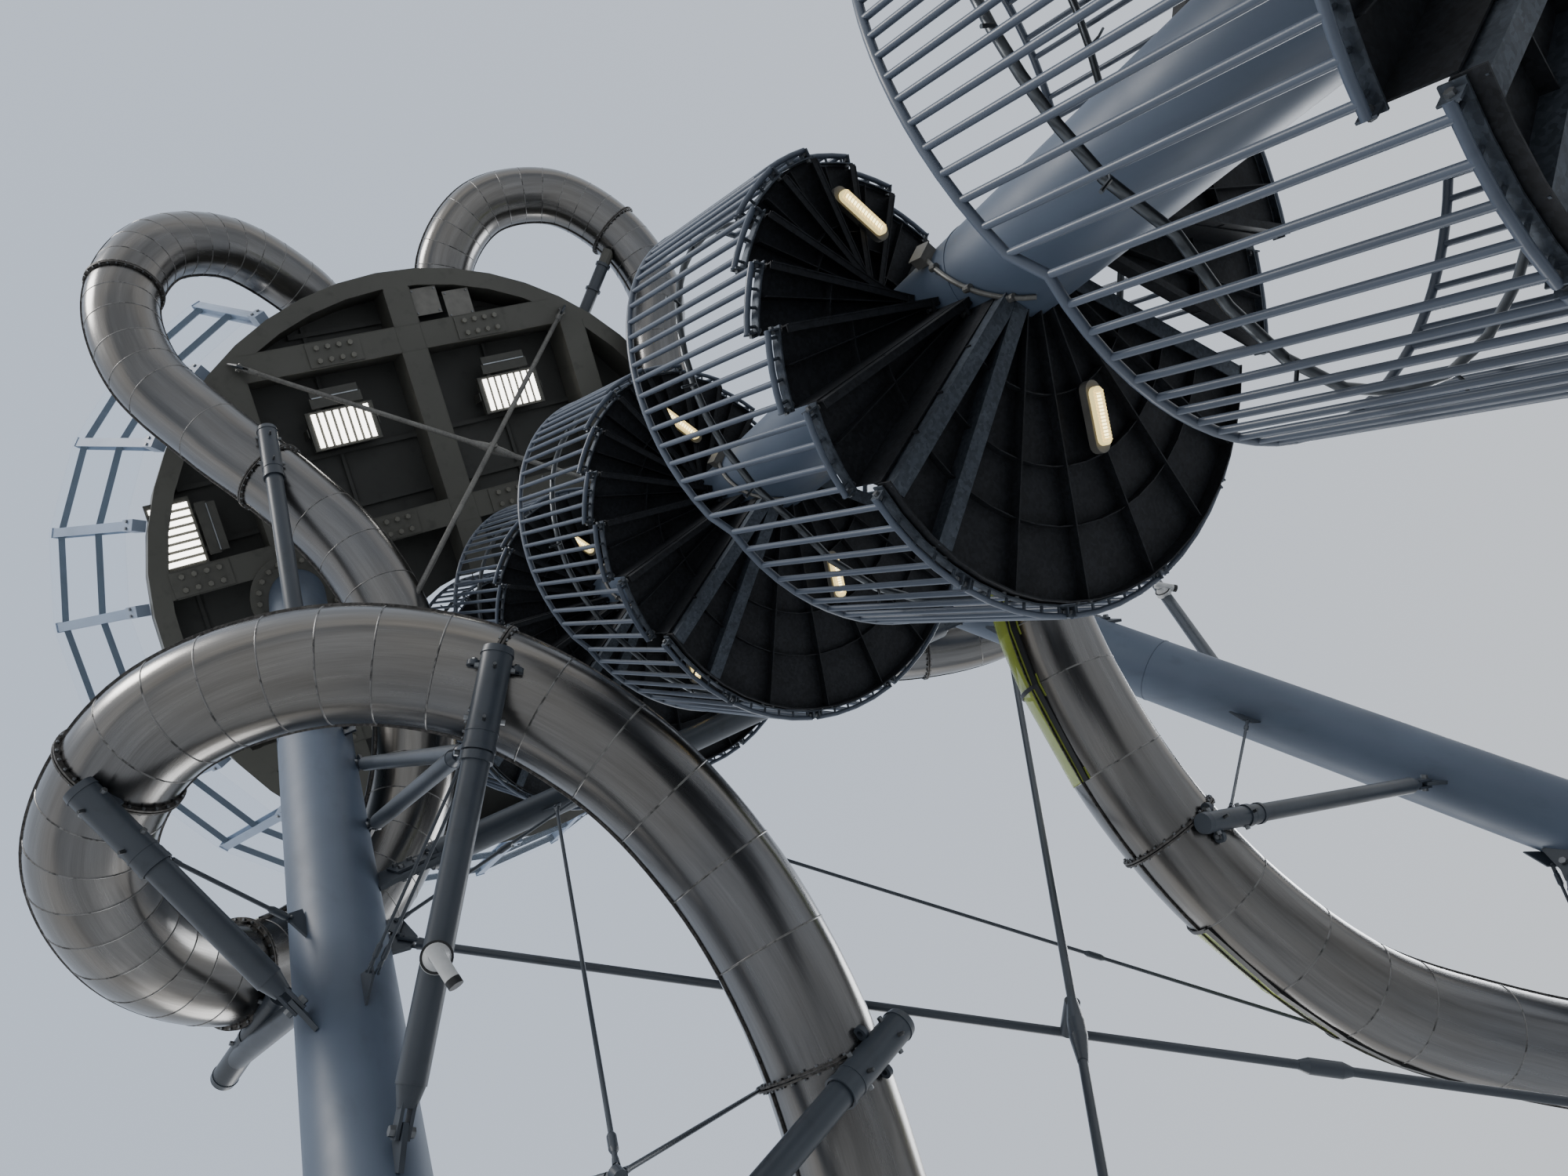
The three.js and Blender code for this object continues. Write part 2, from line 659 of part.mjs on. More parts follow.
// Short tube under a flange of the first slide, held by an arm of its own
const HOLDER = {
  foot: 9400,
  meets: [-3430, 3810, 11070],
  from: [-3140, 3270, 10560],
  to: [-3510, 3970, 11210],
};
const holder = fuse([
  rod(columnAt(0, HOLDER.foot), HOLDER.meets, ARM_R, 12),
  rod(HOLDER.from, HOLDER.to, ARM_R, 12),
]);
add('slide_arm_9', clearOfSlide(clearOfColumns(holder, [0]), 'a'), 'columnPaint');

// Posts and cradles that carry the run-outs
const CRADLE = { base: [400, 1050, 20], saddle: [160, 810, 560] };
function cradle(name, key, x, y) {
  const base = box(CRADLE.base, [x, y, CRADLE.base[2] / 2]);
  const saddle = box(CRADLE.saddle, [x, y, CRADLE.saddle[2] / 2]);
  add(name, clearOfSlide(base.add(saddle), key), 'columnPaint');
}

cradle('slide_a_cradle', 'a', 700, 1450);
cradle('slide_b_cradle', 'b', 3700, 450);

const POST_BASE = { radius: 260, thickness: 25 };
const POST_TOP = 1500;
function post(name, key, x, y) {
  const parts = [
    disc(POST_BASE.radius, 0, POST_BASE.thickness, [x, y], 16),
    rod([x, y, 2 * CUT], [x, y, POST_TOP], ARM_R, 12),
  ];
  add(name, clearOfSlide(fuse(parts), key), 'columnPaint');
}

post('slide_a_post', 'a', -3800, 1660);
post('slide_b_post', 'b', 7600, 350);

// Handrail round the deck edge where the slides leave, over the tube mouths
const ENTRY_RAIL = {
  radius: 3480,
  height: 1200,
  tube: 30,
  posts: [238, 261.5, 288, 306],
  bends: [237, 249, 261.5, 275, 288, 298, 307],
};
function entryPoint(angle, z) {
  const a = THREE.MathUtils.degToRad(angle);
  return [ENTRY_RAIL.radius * Math.cos(a), ENTRY_RAIL.radius * Math.sin(a), z];
}
const railTop = DECK_TOP + ENTRY_RAIL.height;
const entryParts = ENTRY_RAIL.posts.map((angle) => (
  rod(entryPoint(angle, DECK_TOP + GAP), entryPoint(angle, railTop), ENTRY_RAIL.tube, 8)
));
entryParts.push(railBar(ENTRY_RAIL.bends.map((angle) => entryPoint(angle, railTop)), RAIL, RAIL));
add('slide_entry_rail', fuse(entryParts), 'railPaint');

const [footX, footY] = COLUMNS[2].foot;
root.position.set(-footX, -footY, 0);

export default root;
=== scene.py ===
import bisect
import math

import bpy
from mathutils import Matrix, Vector


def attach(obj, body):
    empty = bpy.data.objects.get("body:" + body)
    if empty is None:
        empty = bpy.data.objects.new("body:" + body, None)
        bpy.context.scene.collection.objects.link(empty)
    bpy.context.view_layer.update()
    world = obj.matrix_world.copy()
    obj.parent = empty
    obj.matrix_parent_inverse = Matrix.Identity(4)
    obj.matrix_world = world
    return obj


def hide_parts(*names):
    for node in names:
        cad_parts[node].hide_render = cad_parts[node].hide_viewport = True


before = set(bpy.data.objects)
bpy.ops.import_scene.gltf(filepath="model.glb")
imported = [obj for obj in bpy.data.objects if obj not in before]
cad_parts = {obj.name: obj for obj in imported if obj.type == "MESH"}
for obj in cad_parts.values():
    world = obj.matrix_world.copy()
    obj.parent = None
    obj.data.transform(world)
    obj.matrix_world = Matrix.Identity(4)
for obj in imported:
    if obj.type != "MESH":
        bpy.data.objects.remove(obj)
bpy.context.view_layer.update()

# Looks of the tube slide tower, in metres with +Z up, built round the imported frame.
# Places are written from the platform's centre, and SHIFT moves them to the frame's origin.
SHIFT = Vector((0.44, 2.25, 0))
UP = Vector((0, 0, 1))

# Driving dimensions, as in the frame
COLUMN_R = 0.305
COLUMNS = [
    (Vector((-4.10, 6.56, 0)), Vector((-2.07, 0.35, 15.9))),
    (Vector((7.90, 5.57, 0)), Vector((2.60, -0.73, 15.9))),
    (Vector((-0.44, -2.25, 0)), Vector((0.47, 1.66, 15.9))),
]
PLATFORM_R = 3.55
UNDERSIDE = 15.9
DECK_TOP = 16.586
TURN_RISE = 2.7
TURNS = 6
RISERS = 14
FIRST_RISERS = 16
RISER = TURN_RISE / RISERS
FIRST_STEP = 131
LANDING_END = 20
STEP_TURN = (360 + LANDING_END - FIRST_STEP) / (RISERS - 1)
RAIL_HEIGHT = 1.38
SLIDE_R = 0.36
ARM_R = 0.08


# Shapes

def column_at(index, z):
    foot, head = COLUMNS[index]
    return foot.lerp(head, z / UNDERSIDE)


def polar(radius, degrees, z):
    a = math.radians(degrees)
    return Vector((radius * math.cos(a), radius * math.sin(a), z))


def square_to(direction):
    """Two unit vectors square to a direction and to each other, the first one level"""
    along = direction.normalized()
    side = UP.cross(along)
    if side.length < 1e-4:
        side = Vector((1, 0, 0)).cross(along)
    side.normalize()
    return side, along.cross(side)


def turned(side, up, angle):
    """The unit vector at an angle in radians from side towards up"""
    return side * math.cos(angle) + up * math.sin(angle)


class Shape:
    """Points and faces that become one piece; flow is the length along and around a tube"""

    def __init__(self):
        self.points = []
        self.faces = []
        self.flow = []

    def add(self, points, faces, flow=None):
        base = len(self.points)
        self.points.extend(tuple(p) for p in points)
        self.faces.extend([base + i for i in face] for face in faces)
        self.flow.extend(flow or [(0, 0, 0)] * len(points))

    def slab(self, outline, push):
        """A flat outline pushed along a vector"""
        n = len(outline)
        points = [Vector(p) for p in outline]
        points += [p + push for p in points[:n]]
        faces = [[(k + 1) % n, k, n + k, n + (k + 1) % n] for k in range(n)]
        faces.append(list(range(n)))
        faces.append([2 * n - 1 - k for k in range(n)])
        self.add(points, faces)

    def block(self, centre, along, across, size):
        """A box of size along, across and square to both"""
        a = along.normalized() * size[0] / 2
        b = across.normalized() * size[1] / 2
        c = along.cross(across).normalized() * size[2] / 2
        low = [centre - c - a - b, centre - c + a - b, centre - c + a + b, centre - c - a + b]
        self.slab(low, 2 * c)

    def sweep(self, path, section, frames=None):
        """A closed section of (side, up) pairs carried along a path, capped at both ends"""
        frames = frames or carried_frames(path)
        n = len(section)
        around = [0.0]
        for k in range(n):
            around.append(around[-1] + math.dist(section[k], section[(k + 1) % n]))
        width = n + 1
        points = []
        flow = []
        along = 0.0
        for k, centre in enumerate(path):
            side, up = frames[k]
            if k:
                along += (centre - path[k - 1]).length
            for j in range(width):
                s, t = section[j % n]
                points.append(centre + side * s + up * t)
                flow.append((along, around[j], 0))
        faces = []
        for k in range(len(path) - 1):
            for j in range(n):
                a = k * width + j
                faces.append([a, a + 1, a + 1 + width, a + width])
        last = (len(path) - 1) * width
        faces.append(list(range(n))[::-1])
        faces.append([last + j for j in range(n)])
        self.add(points, faces, flow)

    def tube(self, path, radius, sides=12):
        self.sweep([Vector(p) for p in path], ring(radius, sides))

    def cone(self, p, q, radius_p, radius_q, sides):
        side, up = square_to(q - p)
        points = []
        for centre, radius in ((p, radius_p), (q, radius_q)):
            for s, t in ring(radius, sides):
                points.append(centre + side * s + up * t)
        faces = [[k, (k + 1) % sides, sides + (k + 1) % sides, sides + k] for k in range(sides)]
        faces.append(list(range(sides))[::-1])
        faces.append([sides + k for k in range(sides)])
        self.add(points, faces)

    def disc(self, centre, normal, radius, thickness, sides):
        self.cone(centre, centre + normal.normalized() * thickness, radius, radius, sides)

    def annulus(self, centre, normal, inner, outer, thickness, sides):
        """A flat ring, its thickness centred on the point"""
        normal = normal.normalized()
        side, up = square_to(normal)
        half = thickness / 2
        section = [(inner, -half), (outer, -half), (outer, half), (inner, half)]
        points = []
        for k in range(sides):
            out = turned(side, up, 2 * math.pi * k / sides)
            points += [centre + out * r + normal * z for r, z in section]
        faces = []
        for k in range(sides):
            n = (k + 1) % sides
            for j in range(4):
                i = (j + 1) % 4
                faces.append([4 * k + j, 4 * n + j, 4 * n + i, 4 * k + i])
        self.add(points, faces)

    def bolt(self, seat, normal, across, height):
        """A hexagonal head, slightly narrower at its top"""
        self.cone(seat, seat + normal.normalized() * height, across / 2, across / 2 * 0.92, 6)

    def bolt_circle(self, centre, normal, radius, count, across, height):
        side, up = square_to(normal)
        for k in range(count):
            seat = centre + turned(side, up, 2 * math.pi * (k + 0.5) / count) * radius
            self.bolt(seat, normal, across, height)

    def bolt_pair(self, centre, side, reach, across, height):
        """A bolt on each face of a plate or fork"""
        for sign in (1, -1):
            self.bolt(centre + side * sign * reach, side * sign, across, height)

    def piece(self, name, material, replaces=(), smooth_angle=34):
        """Hands the shape over as one object with its material, slot and the nodes it replaces"""
        mesh = bpy.data.meshes.new(name)
        mesh.from_pydata([tuple(Vector(p) + SHIFT) for p in self.points], [], self.faces)
        mesh.update()
        flow = mesh.attributes.new("flow", "FLOAT_VECTOR", "POINT")
        flow.data.foreach_set("vector", [x for point in self.flow for x in point])
        mesh.polygons.foreach_set("use_smooth", [True] * len(mesh.polygons))
        mesh.set_sharp_from_angle(angle=math.radians(smooth_angle))
        mesh.materials.append(material)
        made = bpy.data.objects.new(name, mesh)
        bpy.context.scene.collection.objects.link(made)
        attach(made, "root")
        if replaces:
            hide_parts(*replaces)


def ring(radius, sides):
    return [
        (radius * math.cos(2 * math.pi * k / sides), radius * math.sin(2 * math.pi * k / sides))
        for k in range(sides)
    ]


def directions(path):
    """The way a path runs at each of its points"""
    last = len(path) - 1
    return [path[min(k + 1, last)] - path[max(k - 1, 0)] for k in range(last + 1)]


def carried_frames(path):
    """Side and up at each point of a path, carried along without twist"""
    frames = []
    side = None
    for way in directions(path):
        along = way.normalized()
        if side is None:
            side, up = square_to(along)
        else:
            side = (side - along * side.dot(along)).normalized()
            up = along.cross(side)
        frames.append((side, up))
    return frames


def upright_frames(path):
    """Side is level and up is as steep as the path lets it be"""
    return [square_to(way) for way in directions(path)]


# Materials

class Finish:
    """A Principled material with helpers for its texture nodes"""

    def __init__(self, name, roughness, metallic=0.0):
        self.material = bpy.data.materials.new(name)
        self.material.use_nodes = True
        self.tree = self.material.node_tree
        self.shader = self.tree.nodes["Principled BSDF"]
        self.shader.inputs["Roughness"].default_value = roughness
        self.shader.inputs["Metallic"].default_value = metallic
        self.place = self.node("ShaderNodeTexCoord").outputs["Object"]

    def node(self, kind, **values):
        made = self.tree.nodes.new(kind)
        for key, value in values.items():
            if key in made.inputs:
                made.inputs[key].default_value = value
            else:
                setattr(made, key, value)
        return made

    def link(self, source, target):
        self.tree.links.new(source, target)

    def flow(self):
        return self.node("ShaderNodeAttribute", attribute_name="flow").outputs["Vector"]

    def scaled(self, source, scale):
        mapping = self.node("ShaderNodeMapping")
        mapping.inputs["Scale"].default_value = scale
        self.link(source, mapping.inputs["Vector"])
        return mapping.outputs["Vector"]

    def noise(self, scale, detail, roughness=0.55, source=None):
        made = self.node("ShaderNodeTexNoise", Scale=scale, Detail=detail, Roughness=roughness)
        self.link(source or self.place, made.inputs["Vector"])
        return made.outputs["Fac"]

    def cells(self, scale):
        made = self.node("ShaderNodeTexVoronoi", Scale=scale)
        self.link(self.place, made.inputs["Vector"])
        return made.outputs["Color"]

    def ramp(self, source, stops):
        made = self.node("ShaderNodeValToRGB")
        line = made.color_ramp
        while len(line.elements) < len(stops):
            line.elements.new(0.5)
        for element, (position, colour) in zip(line.elements, stops):
            element.position = position
            element.color = (*colour, 1)
        self.link(source, made.inputs["Fac"])
        return made.outputs["Color"]

    def times(self, a, b):
        """One colour multiplied by another"""
        made = self.node("ShaderNodeMix", data_type="RGBA", blend_type="MULTIPLY")
        made.inputs[0].default_value = 1.0
        self.link(a, made.inputs[6])
        self.link(b, made.inputs[7])
        return made.outputs[2]

    def span(self, source, low, high):
        made = self.node("ShaderNodeMapRange")
        made.inputs["To Min"].default_value = low
        made.inputs["To Max"].default_value = high
        self.link(source, made.inputs["Value"])
        return made.outputs["Result"]

    def colour(self, source):
        self.link(source, self.shader.inputs["Base Color"])

    def roughness(self, source):
        self.link(source, self.shader.inputs["Roughness"])

    def bump(self, source, strength, distance):
        made = self.node("ShaderNodeBump", Strength=strength, Distance=distance)
        self.link(source, made.inputs["Height"])
        self.link(made.outputs["Normal"], self.shader.inputs["Normal"])


def shade(colour, factor):
    return tuple(min(c * factor, 1.0) for c in colour)


def paint(name, colour, roughness, dirt):
    """Coated steel: faint orange peel, chalky patches and thin run marks"""
    f = Finish(name, roughness)
    patches = f.ramp(f.noise(0.9, 6), [(0.3, shade(colour, 0.86)), (0.7, shade(colour, 1.12))])
    runs = f.noise(7.0, 5, source=f.scaled(f.place, (1, 1, 0.05)))
    dark = f.ramp(runs, [(0.56, (1, 1, 1)), (0.78, shade((1, 1, 1), 1 - dirt))])
    f.colour(f.times(patches, dark))
    f.roughness(f.span(f.noise(3.0, 5), roughness - 0.1, roughness + 0.14))
    f.bump(f.noise(160, 2), 0.1, 0.002)
    return f.material


def galvanised(name, colour, roughness, metallic, contrast):
    """Zinc spangle under dust and dark streaks"""
    f = Finish(name, roughness, metallic)
    dark, bright = shade(colour, 1 - contrast), shade(colour, 1 + contrast)
    spangle = f.ramp(f.cells(62), [(0.15, dark), (0.85, bright)])
    stains = f.ramp(f.noise(3.4, 8, 0.7), [(0.35, (0.62, 0.62, 0.64)), (0.65, (1.0, 1.0, 1.0))])
    scuffs = f.ramp(f.noise(13.0, 10, 0.75), [(0.6, (1, 1, 1)), (0.72, (1.45, 1.45, 1.42))])
    f.colour(f.times(f.times(spangle, stains), scuffs))
    f.roughness(f.span(f.noise(6.0, 6), roughness - 0.12, roughness + 0.2))
    f.bump(f.noise(70, 4), 0.2, 0.002)
    return f.material


def brushed(name, colour, roughness, grain):
    """Stainless sheet brushed along its length, with long streaks and faint heat tint"""
    f = Finish(name, roughness, 1.0)
    flow = f.flow()
    lines = f.noise(grain, 3, 0.6, f.scaled(flow, (0.012, 1.0, 1.0)))
    streaks = f.noise(11.0, 5, 0.65, f.scaled(flow, (0.05, 1.0, 1.0)))
    tone = f.ramp(lines, [(0.3, shade(colour, 0.88)), (0.7, shade(colour, 1.1))])
    long_tone = f.ramp(streaks, [(0.34, (0.80, 0.79, 0.78)), (0.66, (1.08, 1.08, 1.08))])
    tint = f.ramp(f.noise(0.55, 3, 0.5), [(0.35, (0.90, 0.92, 0.96)), (0.65, (1.0, 0.97, 0.92))])
    f.colour(f.times(f.times(tone, long_tone), tint))
    f.roughness(f.span(streaks, roughness - 0.07, roughness + 0.10))
    f.bump(lines, 0.03, 0.001)
    f.shader.inputs["Anisotropic"].default_value = 0.6
    return f.material


def seam(name, colour, roughness):
    """Folded joint in the sheet, darker in short dashes along it"""
    f = Finish(name, roughness, 0.9)
    dashes = f.ramp(f.noise(9.0, 4, 0.7), [(0.40, shade(colour, 0.35)), (0.50, colour)])
    f.colour(dashes)
    f.roughness(f.span(f.noise(30, 3), roughness - 0.1, roughness + 0.2))
    return f.material


def glow(name, colour, strength):
    """A lit diffuser, barely uneven"""
    f = Finish(name, 0.3)
    f.colour(f.ramp(f.noise(40, 2), [(0.3, shade(colour, 0.94)), (0.7, colour)]))
    f.shader.inputs["Emission Color"].default_value = (*colour, 1)
    f.shader.inputs["Emission Strength"].default_value = strength
    return f.material


def clear(name, colour, alpha, roughness=0.04):
    """Laminated sheet with a faint film of dust"""
    f = Finish(name, roughness)
    f.colour(f.ramp(f.noise(1.5, 5), [(0.3, shade(colour, 0.9)), (0.7, colour)]))
    dust = f.noise(3.0, 8, 0.7)
    f.link(f.span(dust, alpha * 0.7, alpha * 1.3), f.shader.inputs["Alpha"])
    f.roughness(f.span(dust, roughness, roughness + 0.08))
    f.shader.inputs["Specular IOR Level"].default_value = 0.15
    return f.material


def plain(name, colour, roughness, metallic=0.0):
    """One colour with a slight unevenness in tone and gloss"""
    f = Finish(name, roughness, metallic)
    f.colour(f.ramp(f.noise(12, 5), [(0.3, shade(colour, 0.85)), (0.7, shade(colour, 1.12))]))
    f.roughness(f.span(f.noise(25, 4), roughness - 0.06, roughness + 0.1))
    return f.material


COLUMN_PAINT = paint("column_paint_blue_grey", (0.074, 0.101, 0.146), 0.48, 0.2)
ARM_PAINT = paint("arm_paint_grey", (0.040, 0.050, 0.064), 0.38, 0.3)
PLATFORM_PAINT = paint("platform_paint_dark", (0.078, 0.077, 0.066), 0.5, 0.3)
# Deck and its ribs: the platform paint at half its tone, painted shade for the recesses between the beams
PLATFORM_PANEL_SHADED = paint("platform_panel_painted_shade", (0.038, 0.039, 0.036), 0.55, 0.3)
CROWN_PAINT = paint("crown_paint_pale", (0.26, 0.32, 0.42), 0.4, 0.2)
# Glazing bars drawn near black as painted shade, for the shadow they sit in under the crown
GLAZING_BAR_SHADED = paint("glazing_bar_painted_shade", (0.020, 0.024, 0.024), 0.45, 0.2)
RAIL_PAINT = paint("rail_paint_grey", (0.075, 0.095, 0.13), 0.36, 0.25)
# Treads and landings: dark zinc, made near black as painted shade for the shade under the stair
STAIR_DARK = galvanised("stair_dark_zinc_and_painted_shade", (0.013, 0.015, 0.019), 0.6, 0.3, 0.4)
# Pale zinc of the edge band and links; also gives the landings' edge beams a painted highlight
STAIR_LIGHT = galvanised("stair_light_zinc_and_painted_highlight", (0.075, 0.09, 0.11), 0.5, 0.6, 0.25)
SLIDE_STEEL = brushed("slide_brushed_steel", (0.20, 0.198, 0.195), 0.24, 260.0)
SLIDE_BEAD = seam("slide_seam_steel", (0.20, 0.198, 0.195), 0.34)
FLANGE_STEEL = galvanised("slide_flange_steel", (0.12, 0.115, 0.108), 0.5, 0.8, 0.4)
ROD_STEEL = galvanised("rod_zinc", (0.17, 0.17, 0.16), 0.45, 0.6, 0.15)
BOLT_STEEL = plain("bolt_steel", (0.20, 0.21, 0.22), 0.4, 0.9)
PLATFORM_BOLT = plain("platform_bolt_olive", (0.15, 0.146, 0.125), 0.4, 0.2)
HANDRAIL = plain("handrail_dark_steel", (0.10, 0.11, 0.12), 0.32, 0.8)
# Pale stainless of the entry rail, also used for the painted highlight strip on each floodlight
PALE_STEEL = plain("pale_stainless_and_painted_highlight", (0.42, 0.45, 0.48), 0.3, 0.9)
GASKET = plain("black_gasket", (0.008, 0.009, 0.010), 0.45)
CROWN_GLASS = clear("crown_glass_clear", (0.40, 0.60, 0.88), 0.06)
SLIDE_WINDOW = clear("slide_window_green", (0.46, 0.55, 0.10), 0.65, 0.15)
LAMP_GLOW = glow("lamp_warm_glow", (1.0, 0.80, 0.34), 1.1)
LAMP_CORE = glow("lamp_bright_core", (1.0, 0.90, 0.48), 4.0)
FLOOD_GLOW = glow("floodlight_glow", (1.0, 0.97, 0.90), 6.0)
LAMP_BODY = plain("lamp_body_grey", (0.15, 0.145, 0.13), 0.4)
FLOOD_BODY = plain("floodlight_body_olive", (0.060, 0.060, 0.052), 0.45)
WHITE_PLASTIC = plain("white_plastic", (0.55, 0.56, 0.56), 0.35)


# Columns

def column_direction(index):
    foot, head = COLUMNS[index]
    return (head - foot).normalized()


COLUMN_SIDES = 96
FOOT_PLATE = 0.045
FOOT_PLATE_R = 0.62
FOOT_BOLTS_R = 0.53
# Outline of a fin on the foot plate, as distance out and height over the plate
FOOT_FIN = ((0.2, 0), (0.58, 0), (0.58, 0.05), (0.2, 0.33))
HEAD_FLANGE = 0.045
HEAD_R = 0.50
HEAD_BOLTS_R = (HEAD_R + COLUMN_R) / 2 + 0.01
# How far the tube runs into its foot plate and stays short of the deck
TUBE_GRIP = 0.005


def foot_fins(shape, base, count, first, outline, thickness):
    """Upright fins round the foot of a column or post"""
    for k in range(count):
        turn = first + 360 / count * k
        out = polar(1, turn, 0)
        across = polar(1, turn + 90, 0) * thickness / 2
        shape.slab([base + out * reach + UP * z - across for reach, z in outline], across * 2)


def make_column(index):
    along = column_direction(index)
    foot, head = COLUMNS[index]
    name = f"column_{index + 1}"
    plate_top = foot + UP * FOOT_PLATE
    body = Shape()
    ends = [column_at(index, z - TUBE_GRIP) for z in (FOOT_PLATE, UNDERSIDE)]
    lean = Vector((along.x, along.y, 0)).normalized()
    level = (lean.cross(UP), lean / along.z)
    body.sweep(ends, ring(COLUMN_R - 0.001, COLUMN_SIDES), [level, level])
    for z in COLUMN_SPLICES[index]:
        body.annulus(column_at(index, z), along, COLUMN_R - 0.01, COLUMN_R + 0.003, 0.012, COLUMN_SIDES)
    body.disc(foot, UP, FOOT_PLATE_R, FOOT_PLATE, 64)
    foot_fins(body, plate_top, 8, 0, FOOT_FIN, 0.024)
    body.piece(f"{name}_painted", COLUMN_PAINT, [name])
    flange = Shape()
    flange.disc(head - UP * (HEAD_FLANGE + 0.0003), UP, HEAD_R, HEAD_FLANGE, 64)
    flange.piece(f"{name}_head_flange", PLATFORM_PAINT)
    nuts = Shape()
    nuts.bolt_circle(head - UP * (HEAD_FLANGE + 0.001), -UP, HEAD_BOLTS_R, 20, 0.066, 0.04)
    nuts.piece(f"{name}_head_nuts", PLATFORM_BOLT)
    bolts = Shape()
    bolts.bolt_circle(plate_top, UP, FOOT_BOLTS_R, 16, 0.055, 0.045)
    bolts.piece(f"{name}_bolts", BOLT_STEEL)


# Levels of the welded joints in each column
COLUMN_SPLICES = [(6.6, 12.4), (9.55, 5.2), (6.0, 11.0)]
for number in range(3):
    make_column(number)


# Platform

# Distance of each beam from the centre, and the way it runs in degrees
BEAMS = [(-2.73, -13), (-0.60, -13), (1.53, -13), (2.04, 77), (-0.055, 77), (-2.127, 77)]
BEAM_WIDTH = 0.30
RING_WIDTH = 0.20
# Places of the bolted splices along the first three beams
SPLICES = [(-0.86, 0.935), (-2.97, -0.835, 0.705, 2.9), (-2.2, 2.45)]
SPLICE = (0.62, 0.28, 0.018)
SPLICE_BOLT_PITCH = 0.13
SPLICE_BOLT_ROW = 0.075


def beam_frame(offset, turn):
    """A beam's middle, the ways along and across it, and half its length"""
    along = polar(1, turn, 0)
    across = polar(1, turn + 90, 0)
    half = math.sqrt((PLATFORM_R - RING_WIDTH) ** 2 - offset ** 2)
    return across * offset, along, across, half


def in_stairwell(point, margin):
    """Whether a point under the deck lies over the stair's opening"""
    axis = column_at(2, min(point.z, UNDERSIDE))
    flat = Vector((point.x - axis.x, point.y - axis.y, 0))
    angle = math.degrees(math.atan2(flat.y, flat.x)) % 360
    if flat.length > stair_radius(angle) + margin:
        return False
    return angle > FIRST_STEP + 2 * STEP_TURN - 4 or angle < LANDING_END + 3


def stair_radius(angle):
    """Distance of the stair's outer edge from the column's axis: an oval that bulges to one side"""
    a = math.radians(angle)
    return 1.4 + 0.27 * math.cos(a - 1.12) + 0.09 * math.cos(2 * (a - 1.35))


def make_splices():
    steel = Shape()
    bolts = Shape()
    for (offset, turn), places in zip(BEAMS, SPLICES):
        middle, along, across, _ = beam_frame(offset, turn)
        for t in places:
            centre = middle + along * t + UP * (UNDERSIDE - SPLICE[2] / 2)
            steel.block(centre, along, across, SPLICE)
            for row in (-SPLICE_BOLT_ROW, SPLICE_BOLT_ROW):
                for k in range(4):
                    shift = along * (SPLICE_BOLT_PITCH * (k - 1.5)) + across * row
                    bolts.bolt(centre + shift - UP * SPLICE[2] / 2, -UP, 0.066, 0.04)
    steel.piece("platform_splice_plates", PLATFORM_PAINT)
    bolts.piece("platform_splice_bolts", PLATFORM_BOLT)


def dress(name, material):
    """Gives one of the frame's own nodes a material"""
    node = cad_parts[name]
    node.data.materials.clear()
    node.data.materials.append(material)


EDGE_PARTS = 40


def make_beam_edges():
    """Flange edges that stand a little proud of each beam, left out over the stairwell"""
    edges = Shape()
    for offset, turn in BEAMS:
        middle, along, across, half = beam_frame(offset, turn)
        for k in range(EDGE_PARTS):
            t = (half - 0.03) * (2 * (k + 0.5) / EDGE_PARTS - 1)
            centre = middle + along * t + UP * (UNDERSIDE + 0.006)
            if in_stairwell(centre, 0.2):
                continue
            for side in (-1, 1):
                place = centre + across * side * (BEAM_WIDTH / 2 + 0.004)
                edges.block(place, along, across, (2 * half / EDGE_PARTS, 0.008, 0.018))
    edges.piece("platform_beam_flange_edges", PLATFORM_PAINT)


# Distance from the centre and turn of each row of deck stiffeners
PANEL_ROWS = [(-3.1, -13), (-1.67, -13), (-1.0, -13), (0.46, -13), (1.0, -13), (2.4, -13)]
PANEL_ROWS += [(3.0, 77), (1.0, 77), (-1.1, 77), (-3.0, 77)]
PANEL_PART = 0.25
PANEL_LEVEL = DECK_TOP - 0.126


def make_panel_ribs():
    """Angles that stiffen the deck plate between the beams, in both directions"""
    ribs = Shape()
    for offset, turn in PANEL_ROWS:
        middle, along, across, _ = beam_frame(offset, turn)
        half = math.sqrt((PLATFORM_R - RING_WIDTH - 0.02) ** 2 - offset ** 2)
        count = int(2 * half / PANEL_PART)
        length = 2 * half / count
        drop = 0.03 if turn == -13 else 0.022
        for k in range(count):
            centre = middle + along * (length * (k + 0.5) - half) + UP * (PANEL_LEVEL - drop)
            if in_stairwell(centre, 0.3):
                continue
            ribs.block(centre, along, across, (length, 0.012, 2 * drop))
            foot = centre - UP * (drop - 0.004) + across * 0.025
            ribs.block(foot, along, across, (length, 0.05, 0.008))
    ribs.piece("platform_deck_ribs", PLATFORM_PANEL_SHADED)


# Floodlights under the deck: place and turn of the long side
FLOODLIGHTS = [(-1.37, -1.64, -13), (0.70, -2.10, -13), (-3.23, -0.42, 77)]
FLOOD_LEVEL = 0.20
FLOOD_FIELD = (0.73, 0.40)
FLOOD_STRIPS = 8
FLOOD_STRIP_PITCH = 0.088


